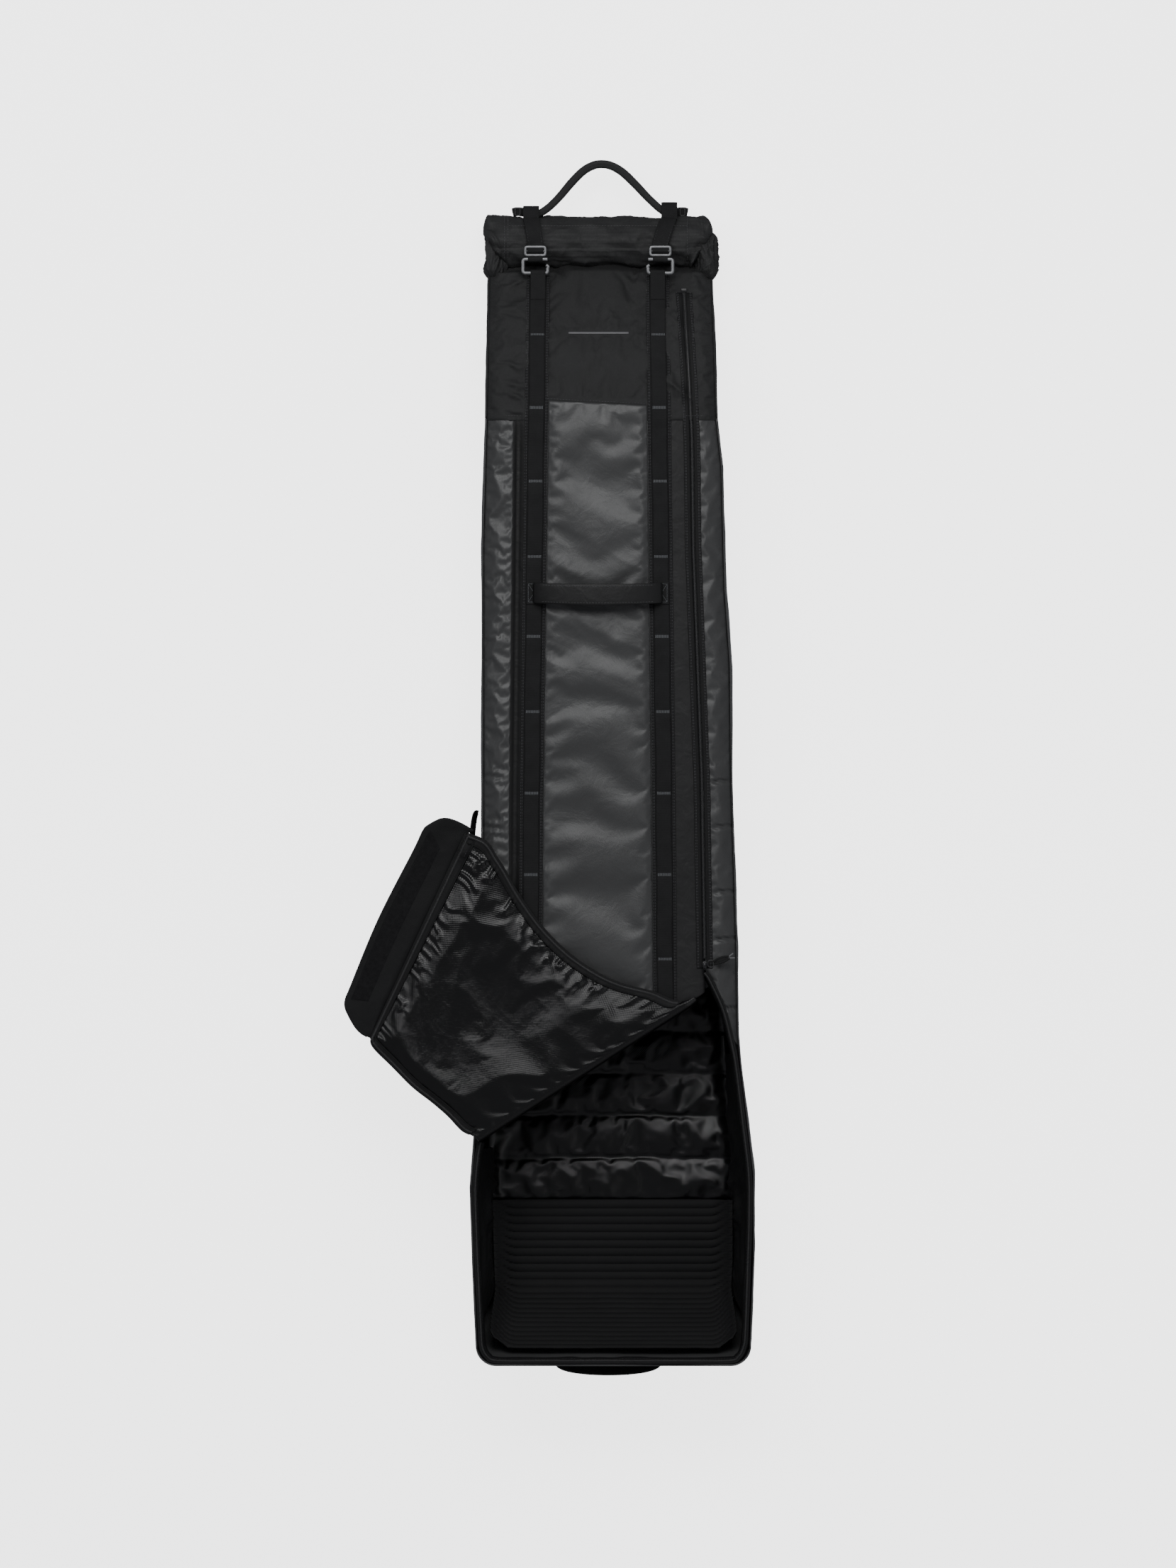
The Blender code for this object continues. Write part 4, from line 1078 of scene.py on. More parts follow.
def corner_path(points, radius, closed=False):
    """Straight lines joined by arcs: each corner is cut off and replaced by a curve."""
    points = [np.asarray(p, float) for p in points]
    out = []
    count = len(points)
    for i, point in enumerate(points):
        if not closed and i in (0, count - 1):
            out.append(point)
            continue
        before, after = points[i - 1], points[(i + 1) % count]
        start = point + (before - point) / np.linalg.norm(before - point) * radius
        end = point + (after - point) / np.linalg.norm(after - point) * radius
        t = np.linspace(0, 1, 6)[:, None]
        out.extend((1 - t) ** 2 * start + 2 * t * (1 - t) * point + t ** 2 * end)
    out = np.array(out)
    if closed:
        out = np.concatenate([out, out[:1]])
    reach = reach_of(out)
    path = at_reach(reach, np.linspace(0, reach[-1], 90), out)
    return path[:-1] if closed else path


def build_top_straps():
    """Straps over the roll, their slider frames, hook buckles and the small end loops."""
    metal, webbing = finish_of("metal"), finish_of("webbing")
    reach = ROLL_SKIN_R + 0.0024
    for side, x_far, x_near in ((-1, -0.1215, -0.1145), (1, 0.1090, 0.0940)):
        word = "left" if side < 0 else "right"
        turn = np.radians(np.linspace(30.0, 94.0, 22))
        share = (np.degrees(turn) - 30.0) / 64.0
        arc = np.stack([x_far + (x_near - x_far) * share, ROLL_Y + reach * np.cos(turn),
                        ROLL_Z + reach * np.sin(turn)], -1)
        rise = 0.0130 if side < 0 else 0.0190
        start = np.array([[x_far, ROLL_Y + reach + 0.0050, 0.0130],
                          [x_far, ROLL_Y + reach + 0.0080, 0.0330],
                          [x_far, ROLL_Y + reach + rise, 0.0560],
                          [x_far, ROLL_Y + reach + rise - 0.0050, 0.0680]])
        end = np.array([[x_near, b, c] for b, c in (
            (0.9085, 0.1030), (0.9045, 0.1040), (0.9022, 0.1075), (0.8990, 0.1096),
            (0.8958, 0.1072), (0.8935, 0.1030))])
        path = resample(np.concatenate([start, arc, end]), 120)
        rows = [strap(path, (1, 0, 0), 0.0270, 0.0020)]
        rows += seams(path[30:100], (1, 0, 0), (-0.0110, 0.0110), [0, 0, 0.0006])
        piece(word + "_strap_over_roll", rows, [webbing, finish_of("dark_thread")], "bag",
              [word + "_top_strap"])

        z, half = 0.1062, 0.0165
        outer = [(x_near + a, b, z) for a, b in (
            (-half, 0.8920), (half, 0.8920), (half, 0.9060), (-half, 0.9060))]
        bars = [sweep(corner_path(outer, 0.0035, True), (0, 0, 1), oval(0.0030, 0.0050, 12, 0.7),
                      True)]
        bars.append(rod([(x_near + a, 0.8990, z) for a in (-half, 0, half)], 0.0026, 0.0030, 12))
        piece(word + "_slider_frame", bars, [metal], "bag", [word + "_strap_frame"])

        flip = 1.0 if side < 0 else -1.0
        half = 0.0205
        outline = ((half, -0.0030), (half, -HOOK_LOW), (-half, -HOOK_LOW), (-half, 0.0107),
                   (half, 0.0107))
        lip = ((half, -0.0050), (0.0215, -0.0015), (0.0180, 0.0012))
        outline, lip = ([(x_near + flip * a, HOOK_Y + b, HOOK_Z) for a, b in points]
                        for points in (outline, lip))
        body = sweep(corner_path(outline, 0.0040), (0, 0, 1), oval(0.0036, 0.0060, 12, 0.7))
        tip = rod(lip, 0.0054, 0.0034, 10)
        piece(word + "_hook_buckle", [body, tip], [metal], "hook_" + word, [word + "_hook"])
        loop = resample([(x_near, b, c) for b, c in (
            (0.8950, 0.1016), (0.8905, 0.1024), (0.8879, 0.1062), (0.8884, 0.1120),
            (0.8893, 0.1180), (0.8850, 0.1204), (0.8813, 0.1172), (0.8838, 0.1120),
            (0.8858, 0.1060), (0.8900, 0.1006), (0.8950, 0.0998))], 60)
        piece(word + "_joining_loop", strap(loop, (1, 0, 0), 0.0250, 0.0014), [webbing], "bag")
    for word, x in (("left", -0.1440), ("right", 0.1310)):
        inward = 1.0 if x < 0 else -1.0
        tab = strap(resample([(x - inward * 0.0070, 0.9640, 0.0500), (x, 0.9655, 0.0530),
                              (x + inward * 0.0150, 0.9640, 0.0510)], 20), (0, 1, 0), 0.0150,
                    0.0080)
        ring = [(x + inward * a, b, 0.0585) for a, b in (
            (-0.0040, 0.9590), (-0.0040, 0.9710), (0.0040, 0.9710), (0.0040, 0.9590))]
        ring = sweep(corner_path(ring, 0.0025, True), (0, 0, 1), oval(0.0022, 0.0022, 10, 0.9),
                     True)
        piece("end_loop_" + word, [tab, dict(ring, slot=1)], [webbing, finish_of("coil")], "bag",
              ["top_loop_" + word])


# ---------------------------------------------------------------- handles

def build_handles():
    """Top, front, bottom and side handles, and the crossed box seams of the front one."""
    webbing = finish_of("webbing")
    dark, light = finish_of("dark_thread"), finish_of("light_thread")
    points = [(-0.1170, 0.9600), (-0.1062, 0.9630), (-0.0909, 0.9735), (-0.0732, 0.9912),
              (-0.0543, 1.0136), (-0.0354, 1.0325), (-0.0189, 1.0420), (-0.0047, 1.0446),
              (0.0118, 1.0420), (0.0307, 1.0313), (0.0519, 1.0113), (0.0708, 0.9912),
              (0.0861, 0.9765), (0.0950, 0.9690), (0.1060, 0.9620)]
    path = resample([(a, b, 0.0600) for a, b in points], 120)
    grip = slice(14, 106)
    size = 1.30 + 0.12 * smooth(np.minimum(np.arange(120), 119 - np.arange(120)) / 30 - 0.4)
    tube = sweep(path, (0, 0, 1), oval(0.0104, 0.0098, 18, 0.8)[None] * size[:, None, None])
    seam = stitches(path[grip] + [0, 0, 0.0050], (0, 0, 1))
    piece("top_carry_handle", [tube, seam], [finish_of("textile"), dark], "handle_top",
          ["top_handle"])

    for line, word in ((LEFT_WEB, "left"), (RIGHT_WEB, "right")):
        u, v = mesh_of(20, 28)
        x = web_x(line, HANDLE_Y) + 0.0245 * (u - 0.5)
        y = 0.3100 + 0.0370 * v
        rows = [skin(front_point(x, y, 0.0078), 0.0014)]
        cross = np.linspace(-1, 1, 16)
        ones = np.ones(16)
        for a, b in ((cross, cross), (cross, -cross), (cross, ones), (cross, -ones),
                     (ones, cross), (-ones, cross)):
            x = web_x(line, HANDLE_Y) + 0.0095 * a
            y = HANDLE_Y + 0.0150 * b
            rows.append(stitches(front_point(x, y, 0.0082), (0, 0, 1), pitch=0.0036))
        piece("box_seam_" + word, rows, [webbing, light], "bag", ["handle_patch_" + word])

    low = 0.2054
    share = np.linspace(0, 1, 130)
    left, right = web_x(LEFT_WEB, HANDLE_Y), web_x(RIGHT_WEB, HANDLE_Y)
    path = np.stack([left + (right - left) * share, HANDLE_Y - 0.003 * np.sin(np.pi * share),
                     low + 0.030 * np.sin(np.pi * share) ** 0.55], -1)
    width = 0.0340 + 0.0020 * bump(share - 0.5, 0.3)
    base = oval(1.0, 1.0, 22, 0.5)
    profile = base[None] * np.stack([width, np.full(130, 0.0042)], -1)[:, None, :]
    rows = [sweep(path, (0, 1, 0), profile)]
    rows += seams(path[8:-8], (0, 1, 0), (-0.0138, 0.0138), [0, 0, 0.0021])
    # The handle's black finish also darkens towards the left, the painted shade made for the
    # recess by the left seam.
    piece("front_grab_handle", rows, [finish_of("dark"), dark], "handle_front", ["front_handle"])

    turn = np.linspace(0, np.pi, 80)
    path = np.stack([0.0070 + 0.0840 * np.cos(turn), -0.9440 - 0.0205 * np.sin(turn) ** 0.70,
                     0.1400 + 0 * turn], -1)
    lean = (0, -0.80, 0.60)
    rows = [strap(path, lean, 0.0245, 0.0034)]
    rows += seams(path[4:-4], lean, (-0.0100, 0.0100), [0, -0.0010, 0.0014])
    piece("bottom_grab_handle", rows, [webbing, dark], "handle_bottom", ["bottom_handle"])
    path = np.stack([-0.2088 - 0.0120 * np.sin(turn) ** 0.70, -0.1300 + 0.0950 * np.cos(turn),
                     0.1100 + 0 * turn], -1)
    piece("side_grab_handle", strap(path, (-0.35, 0, 1), 0.0236, 0.0034), [webbing], "handle_side",
          ["side_handle"])


# ---------------------------------------------------------------- zips

def tooth():
    """One coil turn seen from above: a short rounded bar across the zip."""
    shape = pill(0.0052, 0.0014, 0.0016)
    shape["verts"] = shape["verts"][:, [1, 0, 2]] * np.array([1.0, -1.0, 1.0])
    return shape


def coil(path, side, slot=0, pitch=0.0022):
    """Row of coil turns over a slim core."""
    core = sweep(path, side, oval(0.0026, 0.0010, 8, 0.8), slot=slot)
    return [core, copies(tooth(), along(path, side, pitch), slot)]


def box_middle(node):
    """Middle of a CAD node's box."""
    low, high = (np.array(c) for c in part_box(node))
    return (low + high) / 2


def circle_path(middle, radius, first, second):
    """Closed circle round a point, in the plane of two directions."""
    turn = np.linspace(0, 2 * np.pi, 49)[:-1, None]
    return middle + radius * (np.cos(turn) * np.array(first) + np.sin(turn) * np.array(second))


def build_zip():
    """Closed long zip with its tapes, top stop, slider, ring and cord."""
    tape, plastic, dark = finish_of("zip_tape"), finish_of("coil"), finish_of("dark_thread")
    y = np.linspace(-0.296, ZIP_TOP_Y, 420)
    for sign, word in ((-1, "left"), (1, "right")):
        v = mesh_of(420, 5)[1]
        x = zip_x(y)[:, None] + sign * (0.0034 + 0.0096 * v)
        grid = front_point(x, y[:, None] + 0 * x, 0.0014)
        rows = [skin(grid, 0.0010, flip=sign > 0)]
        for away in (0.0118, 0.0098):
            line = front_point(zip_x(y) + sign * away, y, 0.0020)
            rows.append(stitches(line, (1, 0, 0)))
        piece("long_tape_" + word, rows, [tape, dark], "bag", ["long_zip_tape_" + word])
    y = np.linspace(-0.280, ZIP_TOP_Y, 500)
    path = front_point(zip_x(y), y, 0.0026)
    piece("long_coil", coil(path, (1, 0, 0)), [plastic], "bag", ["long_zip_coil"])
    stop = resample([front_point(0.1290, 0.8337, 0.0042), front_point(0.1333, 0.8337, 0.0048),
                     front_point(0.1376, 0.8337, 0.0042)], 16)
    piece("top_stop", sweep(stop, (0, 1, 0), oval(0.0066, 0.0024, 12, 0.7)), [plastic], "bag",
          ["zip_top_stop"])

    low, high = (np.array(c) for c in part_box("zip_slider"))
    x, y0 = (low[0] + high[0]) / 2, (low[1] + high[1]) / 2
    turn = np.linspace(0, 2 * np.pi, 33)[:-1]
    shape = np.stack([(0.0038 + 0.0012 * np.sin(turn)) * np.sign(np.cos(turn))
                      * np.abs(np.cos(turn)) ** 0.6, 0.0074 * np.sin(turn)], -1)
    levels = np.array([0.0, 0.0008, 0.0022, 0.0030, 0.0034])
    size = np.array([0.80, 1.0, 1.0, 0.92, 0.70])
    path = np.stack([np.full(5, x), np.full(5, y0), low[2] + levels], -1)
    body = sweep(path, (1, 0, 0), shape[None] * size[:, None, None])
    bridge = resample([(x, y0 + 0.0050, low[2] + 0.0030), (x, y0 + 0.0035, low[2] + 0.0056),
                       (x, y0, low[2] + 0.0062), (x, y0 - 0.0040, low[2] + 0.0052),
                       (x, y0 - 0.0055, low[2] + 0.0030)], 24)
    bridge = sweep(bridge, (1, 0, 0), oval(0.0030, 0.0012, 10, 0.7))
    piece("slider_body", [body, bridge], [finish_of("black_metal")], "slider", ["zip_slider"])

    middle = box_middle("pull_ring")
    path = circle_path(middle, 0.0060, (1, 0, 0), (0, 1, 0))
    ring = sweep(path, (0, 0, 1), oval(0.0020, 0.0020, 10, 1.0), True)
    piece("pull_ring_metal", ring, [finish_of("black_metal")], "pull", ["pull_ring"])
    ahead = np.array([0.943, 0.332, 0.0])
    way = np.array([-0.332, 0.943, 0.0])
    reach = np.linspace(0.0050, 0.0320, 60)
    share = (reach - 0.0050) / 0.0270
    rows = []
    for sign in (-1, 1):
        spread = sign * 0.0040 * np.sin(np.pi * (0.12 + 0.80 * share)) ** 0.8
        path = middle + ahead * reach[:, None] + way * spread[:, None]
        path[:, 2] += 0.0012 * np.clip((0.012 - reach) / 0.007, 0, 1) + 0.0006
        rows.append(sweep(path, way, oval(0.0040, 0.0036, 12, 1.0)))
        tip = path[-1] + np.linspace(-0.002, 0.0085, 8)[:, None] * (ahead + sign * 0.32 * way)
        rows.append(sweep(tip, way, oval(0.0028, 0.0028, 10, 1.0), slot=1))
    path = middle + ahead * reach[:, None]
    size = 0.30 + 0.75 * np.sin(np.pi * (0.08 + 0.84 * share)) ** 0.7
    rows.append(sweep(path, way, oval(0.0080, 0.0040, 14, 0.8)[None] * size[:, None, None]))
    piece("pull_cord_grip", rows, [finish_of("webbing"), finish_of("print")], "pull",
          ["pull_cord"])


# ---------------------------------------------------------------- inside

RIM = [(-0.2085, -0.5850, 0.1915), (-0.2130, -0.6100, 0.1865), (-0.2175, -0.6630, 0.1855),
       (-0.2155, -0.7400, 0.1860), (-0.2128, -0.8020, 0.1862), (-0.2080, -0.9000, 0.1860),
       (-0.2055, -0.9280, 0.1858), (-0.1960, -0.9450, 0.1858), (-0.1780, -0.9525, 0.1858),
       (-0.1000, -0.9530, 0.1855), (0.0150, -0.9528, 0.1862), (0.1200, -0.9530, 0.1858),
       (0.2080, -0.9525, 0.1858), (0.2260, -0.9450, 0.1858), (0.2350, -0.9280, 0.1858),
       (0.2385, -0.9000, 0.1860), (0.2425, -0.7900, 0.1860), (0.2448, -0.7100, 0.1856),
       (0.2442, -0.6400, 0.1862), (0.2350, -0.5600, 0.1862), (0.2235, -0.4650, 0.1870),
       (0.2165, -0.4250, 0.1895), (0.2010, -0.3640, 0.1935), (0.1785, -0.3150, 0.1955),
       (0.1695, -0.3020, 0.1970)]


def pad_line(s):
    """Side view of the ribbed pad: along the floor, then up the leaning end wall."""
    points = [(-0.6845, 0.0165), (-0.7400, 0.0165), (-0.7950, 0.0168), (-0.8230, 0.0200),
              (-0.8420, 0.0310), (-0.8560, 0.0480), (-0.8700, 0.0660), (-0.8990, 0.1080),
              (-0.9180, 0.1360), (-0.9310, 0.1580)]
    curve = resample(points, 200)
    reach = np.linspace(0, 1, 200)
    return np.interp(s, reach, curve[:, 0]), np.interp(s, reach, curve[:, 1])


def build_lining():
    """Quilted back lining: soft channels across the bag, turned up along both walls."""
    u, v = mesh_of(56, 199)
    y = -0.6840 + 1.2800 * v
    left = left_edge(y) + BASE_INSET + 0.0065 + 0.005 * smooth((-0.60 - y) / 0.08)
    right = right_edge(y) - BASE_INSET - 0.0065 - 0.005 * smooth((-0.60 - y) / 0.08)
    x = left + (right - left) * u
    channel = np.abs(np.sin(np.pi * v * 18)) ** 0.35
    z = 0.0120 + 0.0052 * channel + 0.0010 * rumple(x * 18, y * 12, 61)
    z = z + channel * 0.0016 * creases(x * 16, y * 26, 63)
    z = z + 0.016 * (1 - smooth((x - left) / 0.03)) + 0.016 * (1 - smooth((right - x) / 0.03))
    grid = np.stack([x, y + 0.0030 * noise(x * 15, y * 5, 67) * (v > 0.004), z], -1)
    held = border(grid)
    held[:, ::11] = True
    grid = finer(settle(grid, held, 0.016, pressure=0.4, stiff=1.5, cap=0.004))
    back = piece("quilted_lining", skin(grid, 0.0030), [finish_of("lining")], "bag",
                 ["back_lining"])


def build_pad():
    """Ribbed pad on the floor and up the end wall: ribs stand out square to its side view."""
    u, v = mesh_of(72, 420)
    y, z = pad_line(v)
    tilt = smooth((v - 0.40) / 0.2)
    left = left_edge(y) + 0.0330 - 0.012 * tilt * smooth((v - 0.5) / 0.5)
    right = right_edge(y) - 0.0330 + 0.012 * tilt * smooth((v - 0.5) / 0.5)
    x = left + (right - left) * u
    side = 1 - np.clip(np.minimum(u, 1 - u) / 0.10, 0, 1)
    phase = v * 0.3100 + 0.020 * side ** 2
    rib = np.abs(np.sin(np.pi * phase / 0.0130)) ** 0.6
    s = np.linspace(0, 1, 60)
    line_y, line_z = pad_line(s)
    out_y = np.interp(v, s, np.gradient(line_z))
    out_z = np.interp(v, s, -np.gradient(line_y))
    size = np.sqrt(out_y ** 2 + out_z ** 2)
    puff = 0.0030 * rib + 0.0006 * rumple(x * 20, v * 8, 71)
    y = y + puff * out_y / size + 0.026 * side ** 2 * tilt
    z = z + puff * out_z / size + 0.018 * side ** 2 * (1 - tilt)
    pad = piece("ribbed_pad", skin(np.stack([x, y, z], -1), 0.0026), [finish_of("padding")],
                "bag", ["floor_pad", "end_pad"])


def build_rim():
    """Loose side linings, and the open rim's tape with its coil and piping."""
    for side, word, start in ((-1, "left", -0.597), (1, "right", -0.440)):
        u, v = mesh_of(150, 30)
        y = LINING_LOW_Y + (start - LINING_LOW_Y) * u
        level = 0.07 + 0.80 * v
        grid = wall_point(side, y, level, 0.0050)
        lean = 0.0150 * (1 - v) ** 1.3 * smooth((-0.42 - y) / 0.2)
        folds = 0.7 + 1.3 * creases(y * 11, v * 2.0, 81)
        grid[..., 0] -= side * (lean + 0.0060 * (1 - v ** 4) * folds)
        piece(word + "_inner_skin", skin(grid, 0.0012, flip=side < 0), [finish_of("padding")],
              "bag", [word + "_side_lining"])

    path = resample(RIM, 700)
    centre = np.array([0.015, -0.72, 0.0])
    ahead = np.gradient(path, axis=0)
    inward = unit(np.stack([-ahead[:, 1], ahead[:, 0], 0 * ahead[:, 0]], -1))
    inward = inward * np.sign(np.einsum("ij,ij->i", inward, centre - path))[:, None]
    v = np.linspace(0, 1, 7)
    wave = 0.0010 * noise(np.arange(700) * 0.09, np.zeros(700), 91)
    grid = (path[:, None] + inward[:, None] * (0.0020 + 0.0065 * v + wave[:, None])[..., None]
            + np.array([0, 0, -0.0190]) * v[None, :, None])
    rows = [skin(grid, 0.0010, flip=True)]
    rows.append(stitches(grid[:, 3] + inward * 0.0009, inward))
    rows += coil(path + inward * 0.0030 + [0, 0, 0.0010], inward, slot=2, pitch=0.0024)
    piping = sweep(path - inward * 0.0006 + [0, 0, 0.0006], inward, oval(0.0040, 0.0040, 10, 1.0))
    piece("rim_zip_half", rows, [finish_of("zip_tape"), finish_of("dark_thread"),
                                 finish_of("coil")], "bag",
          ["left_rim_tape", "end_rim_tape", "right_rim_tape"])
    piece("rim_piping", piping, [finish_of("webbing")], "bag")

    path = circle_path(box_middle("grommet"), 0.0052, (0, 1, 0), (0, 0, 1))
    ring = sweep(path, (1, 0, 0), oval(0.0020, 0.0034, 10, 0.9), True)
    piece("grommet_ring", ring, [finish_of("metal")], "bag", ["grommet"])


# ---------------------------------------------------------------- flap

FLAP_SIDE = [(0.1510, -0.3440), (0.1215, -0.3516), (0.0826, -0.3363), (0.0319, -0.3233),
             (-0.0106, -0.3044), (-0.0590, -0.2714), (-0.1038, -0.2266), (-0.1404, -0.1758),
             (-0.1664, -0.1310), (-0.1794, -0.1109), (-0.1971, -0.0850), (-0.2300, -0.0710)]
FLAP_LOW = [(-0.2124, -0.5770), (-0.2230, -0.5720), (-0.2372, -0.5640), (-0.2596, -0.5404),
            (-0.2856, -0.5180), (-0.3186, -0.4921), (-0.3516, -0.4590), (-0.3823, -0.4283),
            (-0.3882, -0.4130)]
STRIP_EDGE = [(-0.2171, -0.0673), (-0.2431, -0.0531), (-0.2667, -0.0472), (-0.2880, -0.0560),
              (-0.2997, -0.0661), (-0.3162, -0.1003), (-0.3741, -0.2136), (-0.4200, -0.3240),
              (-0.4307, -0.3540), (-0.4236, -0.3764), (-0.4083, -0.4000), (-0.3882, -0.4130)]
STRIP_FROM = np.array([-0.2270, -0.0710])
STRIP_TO = np.array([-0.3882, -0.4130])
STRIP_WAY = (STRIP_TO - STRIP_FROM) / np.linalg.norm(STRIP_TO - STRIP_FROM)
STRIP_OUT = np.array([STRIP_WAY[1], -STRIP_WAY[0]])


def edge_at(points, share):
    """Point at a share of the length along a smooth curve."""
    curve = resample(points, 300)
    reach = np.linspace(0, 1, 300)
    return np.stack([np.interp(share, reach, column) for column in curve.T], -1)


def flap_plan(u, v):
    """Plan of the flap: a patch blended between its four edges. u runs along the fold and v
    from the fold to the end zip; opposite edges are averaged and the corners taken out."""
    start, finish = np.array([-0.2124, -0.5770]), np.array([0.1510, -0.3440])
    low_end, side_end = np.array(FLAP_LOW[-1]), np.array(FLAP_SIDE[-1])
    u3, v3 = u[..., None], v[..., None]
    fold = start + (finish - start) * u3
    far = low_end + (side_end - low_end) * u3
    low, side = edge_at(FLAP_LOW, v), edge_at(FLAP_SIDE, v)
    blend = (1 - v3) * fold + v3 * far + (1 - u3) * low + u3 * side
    corners = ((1 - u3) * (1 - v3) * start + u3 * (1 - v3) * finish + (1 - u3) * v3 * low_end
               + u3 * v3 * side_end)
    return blend - corners


def flap_height(x, y, u, v):
    """Rise of the flap over its lowest level: broad waves, creases, gathers along the zips that
    fade inwards, and a curl at the side edge."""
    side = np.clip((1 - u) / 0.16, 0, 1)
    end = np.clip((1 - v) / 0.16, 0, 1)
    low = np.clip(u / 0.10, 0, 1)
    puff = smooth((end - 0.20) / 0.9) * smooth((side - 0.20) / 0.8) * smooth(low)
    rise = 0.0020 + 0.0110 * puff
    rise = rise + puff * (0.0018 * rumple(x * 6 + 3, y * 6, 101, 2)
                          + 0.0018 * creases(x * 6 + y * 4, y * 6 - x * 3, 103, 2))
    ridge = (1 - np.abs(noise(v * 40 + noise(u * 14, v * 9, 4), u * 5, 5))) ** 3
    rise = rise + 0.0056 * ridge * bump(side - 0.42, 0.30) * (u < 0.962)
    ridge = (1 - np.abs(noise(u * 38 + noise(v * 14, u * 9, 6), v * 5, 8))) ** 3
    rise = rise + 0.0042 * ridge * bump(end - 0.45, 0.30) * (v < 0.955)
    rise = rise + 0.0040 * smooth(1 - side) * (0.6 + 0.4 * np.sin(v * 9))
    rise = rise + 0.0030 * (1 - low) ** 2 * (0.5 + 0.5 * np.sin(v * 14))
    shoulder = 0.0055 + 0.0040 * np.sqrt(np.clip(v / 0.12, 0, 1)) * smooth(low) * smooth(
        (side - 0.1) / 0.5)
    share = smooth(v / 0.30)
    return np.clip(rise, 0.0, None) * share + shoulder * (1 - share) * smooth((side + 0.1) / 0.4)


def build_flap_sheet():
    """Folded-back flap: glossy lining on its upper face and coated fabric underneath. It starts
    under the front, turns back over the fold in a half circle, and lies on the front."""
    u, v = mesh_of(96, 104)
    plan = flap_plan(u, v)
    x, y = plan[..., 0], plan[..., 1]
    z = FLAP_Z + flap_height(x, y, u, v)
    top = np.stack([x, y, z], -1)
    held = border(top) | (u > 0.958) | (v > 0.955) | (u < 0.03)
    near = np.maximum(bump(1 - u, 0.13), bump(1 - v, 0.16)) * smooth(v / 0.1)
    top = finer(settle(top, held, 0.004, near, 0.050, stiff=2.5, cap=0.009))
    top[..., 2] = np.maximum(top[..., 2], FLAP_Z)
    radius = (top[:, :1, 2] - 0.1890) / 2
    phi = np.linspace(0, np.pi, 17)[None, :]
    first = top[:, :1]
    centre_z = top[:, :1, 2] - radius
    reach = -radius * np.sin(phi)
    bend = np.concatenate([first[..., :2] + reach[..., None] * FOLD_OUT,
                           (centre_z + radius * np.cos(phi))[..., None]], -1)
    lap = np.linspace(0.004, 0.030, 6)[None, :]
    level = np.broadcast_to((centre_z - radius)[..., None], (len(top), 6, 1))
    under = np.concatenate([first[..., :2] + lap[..., None] * FOLD_OUT, level], -1)
    grid = np.concatenate([under[:, ::-1], bend[:, ::-1], top[:, 1:]], axis=1)
    sheet = skin(grid, 0.0024)
    count = grid.shape[0] * grid.shape[1]
    back = (sheet["quads"] >= count).all(axis=1) & (sheet["quads"] < 2 * count).all(axis=1)
    shell = dict(sheet, quads=sheet["quads"][~back])
    other = dict(sheet, quads=sheet["quads"][back], slot=1)
    flap = piece("folded_flap", [shell, other], [finish_of("lining"), finish_of("coated")], None)
    merge_close(flap)
    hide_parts("flap_panel", "flap_lining")
    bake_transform(flap)


def on_flap(u_line, v_line, lift):
    """Points on the flap's upper face, raised by lift."""
    spots = flap_plan(u_line, v_line)
    rise = flap_height(spots[..., 0], spots[..., 1], u_line, v_line)
    return np.concatenate([spots, (FLAP_Z + rise + lift)[..., None]], -1)


def flap_tape(across, flip):
    """Zip half along an edge of the flap: tape, stitches, binding, piping and coil. across gives
    the points at an inset from the edge: a grid for an array, a line for a number."""
    t = mesh_of(360, 5)[1]
    rows = [skin(across(0.040 * t, 0.0012), 0.0010, flip=flip)]
    rows.append(stitches(across(0.0300, 0.0019), (0, 0, 1)))
    rows.append(sweep(across(0.0400, 0.0014), (0, 0, 1), oval(0.0030, 0.0026, 10, 0.9)))
    for inset, lift, piped in ((0.0, 0.0004, True), (0.0120, 0.0024, False)):
        edge = across(inset, lift)
        side = unit(np.cross(np.gradient(edge, axis=0), [0.0, 0.0, 1.0]))
        rows += ([sweep(edge, side, oval(0.0042, 0.0040, 10, 0.9))] if piped
                 else coil(edge, side, slot=2))
    return rows


def build_flap_zips():
    """Zip halves along the flap's side, end and low edges."""
    s = mesh_of(360, 5)[0]

    def side_line(inset, lift):
        if np.ndim(inset):
            return on_flap(1 - inset, 0.04 + 0.955 * s, lift)
        return on_flap(np.full(700, 1 - inset), np.linspace(0.05, 0.99, 700), lift)

    def end_line(inset, lift):
        if np.ndim(inset):
            return on_flap(0.003 + 0.99 * s, 1 - inset, lift)
        return on_flap(np.linspace(0.0, 1.0, 600), np.full(600, 1 - inset), lift)

    def low_line(inset, lift):
        if np.ndim(inset):
            return on_flap(0.8 * inset, 0.05 + 0.945 * s, lift)
        return on_flap(np.full(500, 0.8 * inset), np.linspace(0.05, 0.99, 500), lift)

    finishes = [finish_of("zip_tape"), finish_of("dark_thread"), finish_of("coil")]
    piece("flap_side_zip", flap_tape(side_line, True), finishes, "flap", ["flap_side_tape"])
    rows = flap_tape(end_line, False) + flap_tape(low_line, False)
    piece("flap_end_zip", rows, finishes, "flap", ["flap_end_tape"])


